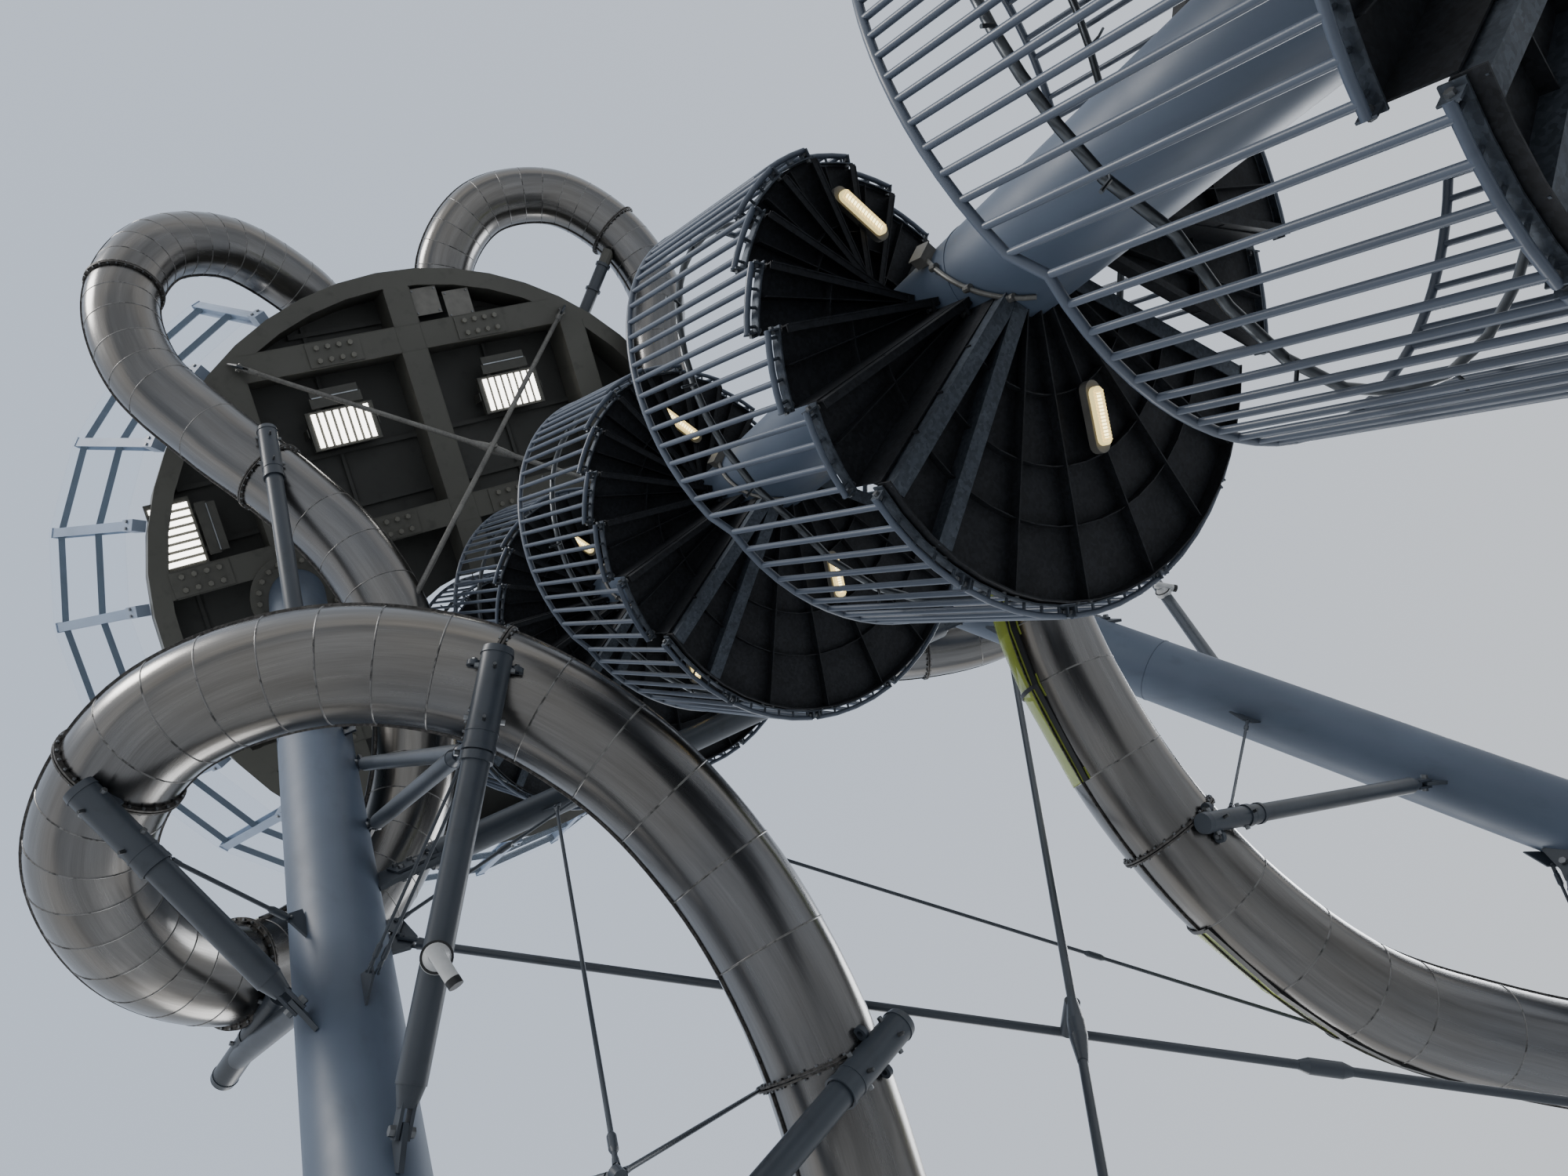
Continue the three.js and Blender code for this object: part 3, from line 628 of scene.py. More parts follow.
def make_floodlight(number, x, y, turn):
    """Housing, driver box and bracket, with a field of bright strips that faces down"""
    along = polar(1, turn, 0)
    across = polar(1, turn + 90, 0)
    centre = Vector((x, y, UNDERSIDE + FLOOD_LEVEL))
    length, width = FLOOD_FIELD

    def block(shape, a, b, z, size):
        shape.block(centre + along * a + across * b + UP * z, along, across, size)

    body = Shape()
    block(body, 0, 0, 0.055, (length + 0.06, width + 0.06, 0.09))
    block(body, 0, -(width / 2 + 0.12), 0.02, (0.60, 0.12, 0.05))
    for side in (-1, 1):
        block(body, side * 0.22, -(width / 2 + 0.04), 0.05, (0.05, 0.16, 0.02))
        block(body, side * (length / 2 + 0.05), 0, 0.16, (0.012, 0.10, 0.26))
    block(body, 0, -0.42, 0.01, (0.56, 0.10, 0.03))
    # A thin pale strip along the long plate's edge: a painted highlight where light catches that edge
    painted_highlight = Shape()
    block(painted_highlight, 0, -0.378, -0.008, (0.54, 0.012, 0.012))
    strips = Shape()
    for k in range(FLOOD_STRIPS):
        place = FLOOD_STRIP_PITCH * (k - (FLOOD_STRIPS - 1) / 2)
        block(strips, place, 0, 0.002, (0.055, width, 0.012))
    painted_highlight.piece(f"floodlight_{number}_edge", PALE_STEEL)
    body.piece(f"floodlight_{number}_body", FLOOD_BODY)
    strips.piece(f"floodlight_{number}_strips", FLOOD_GLOW)


# Two square cover plates under the deck, by their middles, their size and how far out a bolt sits
ACCESS_PLATES = ((-0.34, -3.14), (0.06, -3.14))
ACCESS_SIZE = 0.33
ACCESS_BOLT = 0.135


def make_access_plates():
    plates = Shape()
    bolts = Shape()
    along, across = polar(1, -13, 0), polar(1, 77, 0)
    for x, y in ACCESS_PLATES:
        centre = Vector((x, y, UNDERSIDE + 0.05))
        plates.block(centre, along, across, (ACCESS_SIZE, ACCESS_SIZE, 0.010))
        for k in (-ACCESS_BOLT, ACCESS_BOLT):
            for j in (-ACCESS_BOLT, ACCESS_BOLT):
                bolts.bolt(centre + along * k + across * j - UP * 0.005, -UP, 0.024, 0.014)
    plates.piece("platform_access_plates", LAMP_BODY)
    bolts.piece("platform_access_bolts", BOLT_STEEL)


for name in ("platform_ring_beam", "platform_beams"):
    dress(name, PLATFORM_PAINT)
# The deck takes the darker panel paint, painted shade in the recesses
dress("platform_deck", PLATFORM_PANEL_SHADED)
make_splices()
make_beam_edges()
make_panel_ribs()
make_access_plates()
for number, (x, y, turn) in enumerate(FLOODLIGHTS):
    make_floodlight(number + 1, x, y, turn)


# Crown

CROWN_BAYS = range(-4, 16)
# Angle of the first bay's arm, and degrees from one arm to the next
CROWN_FIRST = 9
CROWN_BAY = 15
# Shares of an arm's length at which the glazing bars run
CROWN_RAILS = (0.5, 0.96)
# The arms' outer edge: radius and level at the foot, and how far it flares and rises
CROWN_FOOT = (3.59, 16.35)
CROWN_GROWS = (0.85, 2.25)
# Width, depth, web and flange of an arm
CROWN_ARM = (0.11, 0.10, 0.014, 0.012)
GLAZING_HALF = 0.036


def crown_turn(bay):
    return CROWN_FIRST + CROWN_BAY * bay


def crown_point(bay, t):
    radius, z = (foot + t * growth for foot, growth in zip(CROWN_FOOT, CROWN_GROWS))
    return polar(radius, crown_turn(bay), z)


def make_crown():
    """Pale I arms with end plates, and glazing bars between them drawn dark as painted shade"""
    dress("crown_glass", CROWN_GLASS)
    steel = Shape()
    dark = Shape()
    bolts = Shape()
    width, depth, web, flange = CROWN_ARM
    for bay in CROWN_BAYS:
        root, tip = crown_point(bay, 0.04), crown_point(bay, 1.0)
        along = (tip - root).normalized()
        across = polar(1, crown_turn(bay) + 90, 0)
        out = across.cross(along).normalized()
        middle = (root + tip) / 2
        length = (tip - root).length
        steel.block(middle, along, across, (length, web, depth))
        for side in (-0.052, 0.055):
            steel.block(middle + out * side, along, across, (length, width, flange))
        steel.block(tip + along * 0.008, along, across, (0.016, 0.125, 0.145))
        steel.block(root + along * 0.08 + out * 0.02, along, across, (0.26, 0.13, 0.15))
        for side in (-0.04, 0.04):
            bolts.bolt(tip + along * 0.016 + out * 0.045 + across * side, along, 0.026, 0.014)
            bolts.bolt(root + along * 0.08 + out * 0.095 + across * side, out, 0.04, 0.02)
    section = [(GLAZING_HALF * a, GLAZING_HALF * b) for a, b in ((-1, -1), (1, -1), (1, 1), (-1, 1))]
    for t in CROWN_RAILS:
        path = [crown_point(bay, t) for bay in CROWN_BAYS]
        dark.sweep(path, section, upright_frames(path))
    steel.piece("crown_arms", CROWN_PAINT, ["crown_frame"])
    dark.piece("crown_glazing_bars", GLAZING_BAR_SHADED, ["crown_frame"])
    bolts.piece("crown_bolts", BOLT_STEEL)


make_crown()


# Helical stair

BAND = 0.008
BAND_DROP = 0.045
UPSTAND = 0.025
PLATE = 0.006
TRAY = 0.075
# How far the treads' plates and flanges stay inside the stair's outer edge
PLATE_INSET = 0.03
FLANGE_INSET = 0.02
RIB_DEPTH = 0.055
# Share of a tread's width at which its back plate stands
BACK_PLATE = 0.985


def level_of(landing):
    return DECK_TOP - TURN_RISE * (TURNS - landing)


def step_list(landing):
    """From, to, low and high of each tread that climbs from a landing"""
    extra = FIRST_RISERS - RISERS if landing == 0 else 0
    base = level_of(landing)
    steps = []
    for k in range(RISERS - 1 + extra):
        j = k - extra
        steps.append((FIRST_STEP + STEP_TURN * j, FIRST_STEP + STEP_TURN * (j + 1),
                      base + RISER * j, base + RISER * (j + 1)))
    return steps


def between(step, t):
    """The angle and the axis level at a share of the way across a step"""
    start, end, low, high = step
    return start + (end - start) * t, low + (high - low) * t


def stair_point(angle, radius, axis_level, z):
    axis = column_at(2, axis_level)
    p = polar(radius, angle, z)
    return Vector((axis.x + p.x, axis.y + p.y, z))


def edge_point(step, t, offset, z):
    angle, axis_level = between(step, t)
    return stair_point(angle, stair_radius(angle) + offset, axis_level, z)


def inner_point(step, t, z, gap=0.006):
    """Where a radial line meets the leaning column at height z"""
    angle, axis_level = between(step, t)
    near = stair_point(angle, 0.0, axis_level, z)
    axis = column_at(2, min(z, UNDERSIDE))
    out = polar(1, angle, 0)
    offset = Vector((near.x - axis.x, near.y - axis.y, 0))
    along = offset.dot(out)
    reach = math.sqrt(max((COLUMN_R + gap) ** 2 - (offset.length_squared - along ** 2), 0)) - along
    return near + out * reach


def radial_plate(shape, step, t, top, depth, thickness=0.007):
    """Upright plate along a radius, hanging from a level"""
    a = inner_point(step, t, top)
    b = edge_point(step, t, -PLATE_INSET, top)
    side = UP.cross(b - a).normalized() * thickness / 2
    outline = [a, b, b - UP * depth, inner_point(step, t, top - depth)]
    shape.slab([p - side for p in outline], side * 2)


def lower_flange(shape, step, t, level, width, thickness, sign):
    """Flat strip along the foot of a radial plate, to one side of it"""
    a = inner_point(step, t, level)
    b = edge_point(step, t, -FLANGE_INSET, level)
    side = UP.cross(b - a).normalized() * sign
    shape.block((a + b) / 2 + side * width / 2, b - a, side, ((b - a).length, width, thickness))


def ring_rib(shape, step, share, top, depth, pieces=3):
    """Upright strip that crosses a step at a share of its width"""
    points = []
    for k in range(pieces + 1):
        t = k / pieces
        points.append(inner_point(step, t, top).lerp(edge_point(step, t, -PLATE_INSET, top), share))
    for a, b in zip(points, points[1:]):
        middle = (a + b) / 2 - UP * depth / 2
        shape.block(middle, b - a, UP.cross(b - a), ((b - a).length + 0.004, 0.006, depth))


def tread_plate(shape, step, top, arcs):
    outer = [edge_point(step, k / arcs, -0.012, top - PLATE) for k in range(arcs + 1)]
    inner = [inner_point(step, k / arcs, top - PLATE) for k in range(arcs, -1, -1)]
    shape.slab(outer + inner, UP * PLATE)


def edge_band(shape, step, bottom, top, arcs, outside=0.0, overlap=0.0):
    """Upright strip that follows the outer edge of a tread or landing"""
    outer = []
    inner = []
    for k in range(arcs + 1):
        t = -overlap + (1 + 2 * overlap) * k / arcs
        outer.append(edge_point(step, t, outside, bottom))
        inner.append(edge_point(step, t, outside - BAND, bottom))
    shape.slab(outer + inner[::-1], UP * (top - bottom))


def tray_end(shape, bolts, step, top):
    """Upright end plate by the column, with the stub that carries it and its bolts"""
    a = inner_point(step, 0.04, top, 0.05)
    b = inner_point(step, 0.96, top, 0.05)
    across = (b - a).normalized()
    out = polar(1, (step[0] + step[1]) / 2, 0)
    middle = (a + b) / 2 - UP * (TRAY / 2 + 0.006)
    shape.block(middle, across, UP, ((b - a).length, TRAY + 0.012, 0.008))
    shape.block(middle - out * 0.04, out, UP, (0.10, TRAY * 0.8, 0.012))
    for share in (0.25, 0.75):
        bolts.bolt(a.lerp(b, share) - UP * 0.05 + out * 0.004, out, 0.03, 0.018)


def make_flight(landing):
    """The treads of one turn with their ribs, trays and edge band, and the landing at their foot"""
    dark = Shape()
    light = Shape()
    bolts = Shape()
    for step in step_list(landing):
        top = step[3]
        tread_plate(dark, step, top, 4)
        radial_plate(dark, step, 0.004, top, min(RISER + 0.02, top))
        radial_plate(dark, step, BACK_PLATE, top - PLATE, TRAY)
        radial_plate(dark, step, 0.5, top - PLATE, RIB_DEPTH, 0.006)
        ring_rib(dark, step, 0.58, top - PLATE, RIB_DEPTH)
        tray_end(dark, bolts, step, top)
        lower_flange(dark, step, BACK_PLATE, top - TRAY, 0.036, 0.006, -1)
        edge_band(light, step, max(top - BAND_DROP, 0.003), top + UPSTAND, 4, overlap=0.012)
        for t in (0.06, 0.94):
            out = polar(1, step[0] + STEP_TURN * t, 0)
            bolts.bolt(edge_point(step, t, -BAND, top - 0.025), -out, 0.028, 0.016)
    if landing > 0:
        make_landing(dark, light, bolts, level_of(landing))
    name = f"stair_flight_{landing + 1}"
    dark.piece(f"{name}_treads", STAIR_DARK, [name], 25)
    # The pale piece also holds each landing's edge beams, drawn pale as painted highlight
    light.piece(f"{name}_edge_band", STAIR_LIGHT, (), 25)
    bolts.piece(f"{name}_bolts", BOLT_STEEL)


LANDING_ARCS = 18
LANDING_BAYS = 7
# Shares of a landing's width and length at which its ring ribs and edge beams run; the edge beams are
# dark flanges drawn pale as painted highlight where light falls on them
LANDING_RINGS = (0.28, 0.53, 0.74)
EDGE_BEAMS = (0.004, 0.875, 0.992)
EDGE_BEAM = 0.08


def make_landing(dark, light, bolts, level):
    step = (LANDING_END, FIRST_STEP, level, level)
    under = level - PLATE
    tread_plate(dark, step, level, LANDING_ARCS)
    for k in range(1, LANDING_BAYS - 1):
        radial_plate(dark, step, k / LANDING_BAYS, under, 0.065, 0.008)
    for share in LANDING_RINGS:
        ring_rib(dark, step, share, under, 0.05, LANDING_ARCS)
    edge_band(light, step, level - BAND_DROP, level + UPSTAND, LANDING_ARCS)
    edge_band(dark, step, level - 0.09, under, LANDING_ARCS, -FLANGE_INSET)
    # Edge beams in the pale zinc: painted highlight on flanges that are dark steel
    for t in EDGE_BEAMS:
        radial_plate(light, step, t, under, EDGE_BEAM, 0.008)
        lower_flange(light, step, t, level - EDGE_BEAM, EDGE_BEAM, 0.008, 1 if t < 0.5 else -1)
    for k in range(1, LANDING_BAYS):
        t = k / LANDING_BAYS
        out = polar(1, between(step, t)[0], 0)
        for shift in (-0.012, 0.012):
            bolts.bolt(edge_point(step, t + shift, -BAND, level - 0.03), -out, 0.024, 0.014)


# Balustrades and handrail

BAR_PITCH = 0.112
BAR_R = 0.0155
FOOT_RAIL_R = 0.016
TOP_RAIL_R = 0.021
HANDRAIL_R = 0.021
HANDRAIL_IN = 0.06
HANDRAIL_HEIGHT = 0.93
RAIL_OUT = 0.045
RAIL_SIT = 0.012
LINK_IN = 0.004
LANDING_MODULES = 5


def rail_modules(landing):
    """Each balustrade module as a step, with the level of the floor it guards"""
    modules = []
    if landing > 0:
        level = level_of(landing)
        turn = (FIRST_STEP - LANDING_END) / LANDING_MODULES
        for k in range(LANDING_MODULES):
            start = LANDING_END + turn * k
            modules.append(((start, start + turn, level, level), level))
    modules += [(step, step[3]) for step in step_list(landing)]
    return modules


def make_balustrade(landing):
    """Upright bars on a foot rail per module, one top rail, and the links to the edge band"""
    bars = Shape()
    links = Shape()
    bolts = Shape()
    rail = []
    modules = rail_modules(landing)
    for step, top in modules:
        length = stair_radius((step[0] + step[1]) / 2) * math.radians(step[1] - step[0])
        count = max(round(length / BAR_PITCH), 2)
        climb = 0 if step[2] == step[3] else RISER
        foot_level = max(top - RAIL_SIT, FOOT_RAIL_R)
        foot_rail = [edge_point(step, 0.03 + 0.94 * k / 4, RAIL_OUT, foot_level) for k in range(5)]
        bars.tube(foot_rail, FOOT_RAIL_R)
        for k in range(count):
            t = (k + 0.5) / count
            foot = edge_point(step, t, RAIL_OUT, foot_level)
            crest = edge_point(step, t, RAIL_OUT, top + RAIL_HEIGHT + climb * (t - 0.5))
            bars.tube([foot, crest], BAR_R, 10)
            links.tube([foot, edge_point(step, t, -LINK_IN, foot_level)], 0.008, 8)
            rail.append(crest)
        for t in (0.035, 0.965):
            inner = edge_point(step, t, -LINK_IN, foot_level)
            outer = edge_point(step, t, RAIL_OUT + 0.004, foot_level)
            out = (outer - inner).normalized()
            side = UP.cross(out).normalized()
            middle = (inner + outer) / 2
            links.block(middle, out, side, ((outer - inner).length, 0.008, 0.06))
            bolts.bolt_pair(middle, side, 0.004, 0.03, 0.014)
    bars.tube(rail, TOP_RAIL_R, 14)
    name = f"balustrade_{landing + 1}"
    bars.piece(f"{name}_bars", RAIL_PAINT, [name], 40)
    links.piece(f"{name}_links", STAIR_LIGHT)
    bolts.piece(f"{name}_bolts", BOLT_STEEL)
    make_handrail(landing, modules)


def make_handrail(landing, modules):
    """Round handrail inside the bars, with bent brackets out to them"""
    inside = Shape()
    path = []
    for step, top in modules:
        climb = 0 if step[2] == step[3] else RISER
        for t in (0.25, 0.75):
            path.append(edge_point(step, t, -HANDRAIL_IN, top + HANDRAIL_HEIGHT + climb * (t - 0.5)))
    inside.tube(path, HANDRAIL_R, 14)
    for point in path[1::3]:
        axis = column_at(2, min(point.z - 0.9, UNDERSIDE))
        out = Vector((point.x - axis.x, point.y - axis.y, 0)).normalized()
        bend = point - UP * 0.05
        inside.tube([point - UP * 0.02, bend + out * 0.04, bend + out * 0.10], 0.008, 8)
    inside.piece(f"handrail_{landing + 1}", HANDRAIL, (), 40)


for landing in range(TURNS):
    make_flight(landing)
    make_balustrade(landing)


# Slides

SLIDE_PATHS = {
    "a": [
        (-1.0, -2.85, 17.0), (-1.3, -3.16, 17.0), (-1.63, -3.47, 16.92), (-2.4, -3.81, 16.62),
        (-3.19, -3.58, 16.1), (-3.6, -2.87, 15.58), (-3.48, -2.02, 15.06), (-2.96, -1.32, 14.55),
        (-2.36, -0.67, 14.05), (-1.86, 0.03, 13.55), (-1.6, 0.83, 13.07), (-1.61, 1.69, 12.6),
        (-1.91, 2.49, 12.1), (-2.51, 3.07, 11.58), (-3.31, 3.18, 11.02), (-3.97, 2.72, 10.47),
        (-4.21, 1.95, 9.97), (-3.82, 1.24, 9.51), (-3.01, 0.95, 9.1), (-2.14, 1.1, 8.75),
        (-1.43, 1.61, 8.36), (-0.94, 2.33, 7.98), (-0.69, 3.12, 7.56), (-0.61, 3.96, 7.18),
        (-0.62, 5.0, 6.85), (-1.3, 6.1, 6.5), (-2.5, 6.9, 5.95), (-3.9, 7.05, 5.3),
        (-5.2, 6.35, 4.6), (-6.0, 5.1, 3.88), (-6.0, 3.6, 3.1), (-5.2, 2.35, 2.3),
        (-3.9, 1.7, 1.48), (-2.5, 1.48, 0.88), (-1.2, 1.45, 0.65), (0.0, 1.45, 0.6),
        (1.1, 1.45, 0.59),
    ],
    "b": [
        (0.25, -2.95, 16.98), (0.2, -3.88, 16.92), (0.7, -4.63, 16.74), (1.57, -4.78, 16.5),
        (2.32, -4.3, 16.22), (2.69, -3.47, 15.88), (2.49, -2.59, 15.45), (2.35, -1.72, 15.08),
        (2.13, -0.86, 14.7), (2.1, 0.05, 14.31), (2.5, 0.93, 13.89), (3.35, 1.42, 13.46),
        (4.46, 1.55, 12.96), (5.49, 1.34, 12.48), (6.34, 0.69, 11.99), (6.76, -0.23, 11.51),
        (6.33, -1.14, 11.04), (5.41, -1.56, 10.55), (4.32, -1.56, 10.03), (3.3, -1.1, 9.48),
        (2.65, -0.35, 8.98), (2.08, 0.96, 8.26), (2.1, 1.79, 7.85), (2.33, 2.59, 7.43),
        (2.76, 3.3, 7.01), (3.36, 3.87, 6.6), (4.12, 4.23, 6.2), (4.9, 4.5, 5.88), (6.0, 4.8, 5.55),
        (7.3, 5.1, 5.25), (8.8, 5.05, 4.75), (10.1, 4.3, 4.22), (10.7, 2.9, 3.6), (10.3, 1.5, 2.95),
        (9.1, 0.6, 2.28), (7.6, 0.35, 1.55), (6.0, 0.4, 0.92), (4.6, 0.45, 0.65), (3.3, 0.45, 0.59),
    ],
}
# A gore is this share of the bend's radius long, within these limits
GORE_SHARE = 0.145
GORE_SHORT = 0.26
GORE_LONG = 0.75
GORE_STEPS = 4
TUBE_SIDES = 48
INNER_R = SLIDE_R - 0.02
FLANGE_OUT = 0.032
FLANGE_PLATE = 0.012
FLANGE_HALF_GAP = 0.010
FLANGE_BOLTS = 28
FIN = 0.014
SEAM_WIDTH = 0.012
SEAM_HEIGHT = 0.0028
LENGTHS = 4
# How far each way the bend is measured
BEND_REACH = 0.2
# The usual run from flange to flange, and how far from any other an arm's own flange has to be
FLANGE_RUN = 3.1
FLANGE_NEAR = 0.9


def spline(points, per_span=24):
    """Points along a centripetal Catmull-Rom curve, the same as the frame's"""
    points = [Vector(p) for p in points]
    padded = [2 * points[0] - points[1], *points, 2 * points[-1] - points[-2]]
    out = []
    for k in range(len(points) - 1):
        p0, p1, p2, p3 = padded[k:k + 4]
        d0, d1, d2 = (math.sqrt((b - a).length) for a, b in ((p0, p1), (p1, p2), (p2, p3)))
        m1 = ((p1 - p0) / d0 - (p2 - p0) / (d0 + d1) + (p2 - p1) / d1) * d1
        m2 = ((p2 - p1) / d1 - (p3 - p1) / (d1 + d2) + (p3 - p2) / d2) * d1
        c2 = -3 * p1 + 3 * p2 - 2 * m1 - m2
        c3 = 2 * p1 - 2 * p2 + m1 + m2
        out += [p1 + (m1 + (c2 + c3 * t) * t) * t for t in (j / per_span for j in range(per_span))]
    out.append(points[-1])
    return out


class Track:
    """A slide's middle line by the length along it"""

    def __init__(self, key):
        self.points = spline(SLIDE_PATHS[key])
        self.at = [0.0]
        for a, b in zip(self.points, self.points[1:]):
            self.at.append(self.at[-1] + (b - a).length)
        self.length = self.at[-1]

    def point(self, s):
        s = min(max(s, 0.0), self.length)
        k = min(max(bisect.bisect_right(self.at, s) - 1, 0), len(self.points) - 2)
        share = (s - self.at[k]) / (self.at[k + 1] - self.at[k])
        return self.points[k].lerp(self.points[k + 1], share)

    def tangent(self, s):
        return (self.point(s + 0.03) - self.point(s - 0.03)).normalized()

    def frame(self, s):
        return square_to(self.tangent(s))

    def nearest(self, place):
        place = Vector(place)
        k = min(range(len(self.points)), key=lambda i: (self.points[i] - place).length)
        return self.at[k]


TRACKS = {key: Track(key) for key in "ab"}

# Arm number, column, height on the column, slide, place on the slide, side and reach beyond it
ARMS = [
    (1, 0, 7.4, "a", (-2.01, 1.16, 8.69), 1, 0.03),
    (2, 0, 8.6, "a", (-4.01, 1.45, 9.66), 1, -0.10),
    (3, 0, 11.8, "a", (-2.53, -0.86, 14.20), 1, 0.15),
    (4, 0, 6.0, "a", (-0.64, 3.48, 7.38), 1, 0.26),
    (5, 0, 4.2, "a", (-6.03, 4.60, 3.62), 1, 0.26),
    (6, 1, 8.8, "b", (6.56, 0.38, 11.82), -1, 0.26),
    (7, 1, 7.2, "b", (2.39, 2.72, 7.36), -1, 0.15),
    (8, 1, 6.6, "b", (4.80, 4.47, 5.92), -1, 0.26),
]
# Lengths along each slide at which the photo shows a flange
SEEN_FLANGES = {"a": [3.6, 6.6, 12.85, 15.3, 17.7, 20.8], "b": [3.75, 24.9, 28.3]}
# Stretches whose upper side is glazed, in metres along each slide, and between which angles
WINDOWS = {
    "a": [(9.0, 12.4, 4, 80), (21.2, 24.6, 4, 80)],
    "b": [(18.8, 24.6, -9, 80), (25.2, 28.0, -13, 80)],
}


def stations(key):
    """Joints between gores: even steps, with one at each flange"""
    track = TRACKS[key]
    held = SEEN_FLANGES[key] + [0.012, track.length - 0.012]
    for arm in ARMS:
        if arm[3] == key:
            s = track.nearest(arm[4])
            if min(abs(s - other) for other in held) > FLANGE_NEAR:
                held.append(s)
    held.sort()
    flanges = [held[0]]
    for s in held[1:]:
        extra = max(round((s - flanges[-1]) / FLANGE_RUN), 1)
        start = flanges[-1]
        flanges += [start + (s - start) * (j + 1) / extra for j in range(extra)]
    joints = []
    for a, b in zip(flanges, flanges[1:]):
        joints += gore_joints(track, a, b)
    joints.append(flanges[-1])
    return joints, flanges


def gore_length(track, s):
    """Length that suits a gore at s; the ends are measured a little way in"""
    s = min(max(s, BEND_REACH + 0.1), track.length - BEND_REACH - 0.1)
    turn = track.tangent(s - BEND_REACH).angle(track.tangent(s + BEND_REACH))
    return min(max(GORE_SHARE * 2 * BEND_REACH / max(turn, 1e-3), GORE_SHORT), GORE_LONG)


def gore_joints(track, start, end):
    """Joints from a flange up to the next one, closer where the tube bends more"""
    fine = 40
    step = (end - start) / fine
    shares = [0.0]
    for k in range(fine):
        shares.append(shares[-1] + step / gore_length(track, start + (k + 0.5) * step))
    count = max(round(shares[-1]), 1)
    joints = []
    for j in range(count):
        target = shares[-1] * j / count
        k = min(bisect.bisect_right(shares, target) - 1, fine - 1)
        joints.append(start + (k + (target - shares[k]) / (shares[k + 1] - shares[k])) * step)
    return joints


def in_window(key, s, angle):
    for start, end, low, high in WINDOWS[key]:
        if start <= s <= end and (angle - low) % 360 < high - low:
            return True
    return False


def gore_skin(shape, key, start, end, radius, flip=False):
    """One bent sheet between two joints, a little drawn in at its ends"""
    track = TRACKS[key]
    points = []
    flow = []
    for k in range(GORE_STEPS + 1):
        s = start + (end - start) * k / GORE_STEPS
        side, up = track.frame(s)
        centre = track.point(s)
        here = radius - (0.0012 if k in (0, GORE_STEPS) else 0)
        for j in range(TUBE_SIDES + 1):
            a = 2 * math.pi * j / TUBE_SIDES
            points.append(centre + turned(side, up, a) * here)
            flow.append((s, a * radius, start))
    faces = []
    width = TUBE_SIDES + 1
    for k in range(GORE_STEPS):
        for j in range(TUBE_SIDES):
            if in_window(key, (start + end) / 2, 360 * (j + 0.5) / TUBE_SIDES):
                continue
            a = k * width + j
            face = [a, a + 1, a + 1 + width, a + width]
            faces.append(face[::-1] if flip else face)
    shape.add(points, faces, flow)


def bead(shape, track, s):
    """A raised folded seam round the tube"""
    side, up = track.frame(s)
    centre = track.point(s)
    along = track.tangent(s)
    half = SEAM_WIDTH / 2
    crest = SEAM_WIDTH / 5
    points = []
    for offset, out in ((-half, -0.001), (-crest, SEAM_HEIGHT), (crest, SEAM_HEIGHT), (half, -0.001)):
        for j in range(TUBE_SIDES):
            ray = turned(side, up, 2 * math.pi * j / TUBE_SIDES)
            points.append(centre + along * offset + ray * (SLIDE_R + out))
    faces = []
    for k in range(3):
        low, high = k * TUBE_SIDES, (k + 1) * TUBE_SIDES
        for j in range(TUBE_SIDES):
            n = (j + 1) % TUBE_SIDES
            faces.append([low + j, low + n, high + n, high + j])
    shape.add(points, faces)


def make_skin(key, joints):
    """The sheet outside and inside, one piece for each of the frame's lengths"""
    per_length = TRACKS[key].length / LENGTHS
    for k in range(LENGTHS):
        skin = Shape()
        low, high = k * per_length - 0.01, (k + 1) * per_length - 0.01
        for a, b in zip(joints, joints[1:]):
            if low <= a < high:
                gore_skin(skin, key, a, b, SLIDE_R)
                gore_skin(skin, key, a, b, INNER_R, True)
        name = f"slide_{key}_length_{k + 1}"
        skin.piece(f"{name}_skin", SLIDE_STEEL, [name], 60)


def make_seams(key, joints, flanges):
    """A raised seam at each joint that has no flange"""
    seams = Shape()
    for s in joints:
        if min(abs(s - flange) for flange in flanges) > 0.05:
            bead(seams, TRACKS[key], s)
    seams.piece(f"slide_{key}_seams", SLIDE_BEAD, (), 60)


def make_flanges(key, flanges):
    """A pair of bolted rings at each joint between lengths, and a single ring at both ends"""
    track = TRACKS[key]
    rings = Shape()
    bolts = Shape()
    for s in flanges:
        centre, along = track.point(s), track.tangent(s)
        at_end = s < 0.1 or s > track.length - 0.1
        for offset in (0.0,) if at_end else (-FLANGE_HALF_GAP, FLANGE_HALF_GAP):
            place = centre + along * offset
            rings.annulus(place, along, INNER_R - 0.001, SLIDE_R + FLANGE_OUT, FLANGE_PLATE, 64)
        for sign in (-1, 1):
            seat = centre + along * sign * (FLANGE_HALF_GAP + FLANGE_PLATE / 2)
            bolts.bolt_circle(seat, along * sign, SLIDE_R + 0.017, FLANGE_BOLTS, 0.022, 0.012)
    rings.piece(f"slide_{key}_flanges", FLANGE_STEEL)
    bolts.piece(f"slide_{key}_flange_bolts", BOLT_STEEL)


def make_fins(key, joints):
    """The folded seams along both sides"""
    track = TRACKS[key]
    fins = Shape()
    fine = [a + (b - a) * k / GORE_STEPS for a, b in zip(joints, joints[1:]) for k in range(GORE_STEPS)]
    fine.append(joints[-1])
    path = [track.point(s) for s in fine]
    frames = [track.frame(s) for s in fine]
    root, crest, half = SLIDE_R - 0.004, SLIDE_R + FIN, 0.005
    for sign in (1, -1):
        section = [(sign * root, -half), (sign * crest, -half), (sign * crest, half), (sign * root, half)]
        fins.sweep(path, section[::sign], frames)
    fins.piece(f"slide_{key}_side_seams", FLANGE_STEEL, (), 50)


# Degrees between the clips round a pane's edge, and a clip's size
CLIP_TURN = 5
CLIP_SIZE = (0.03, 0.010, 0.034)


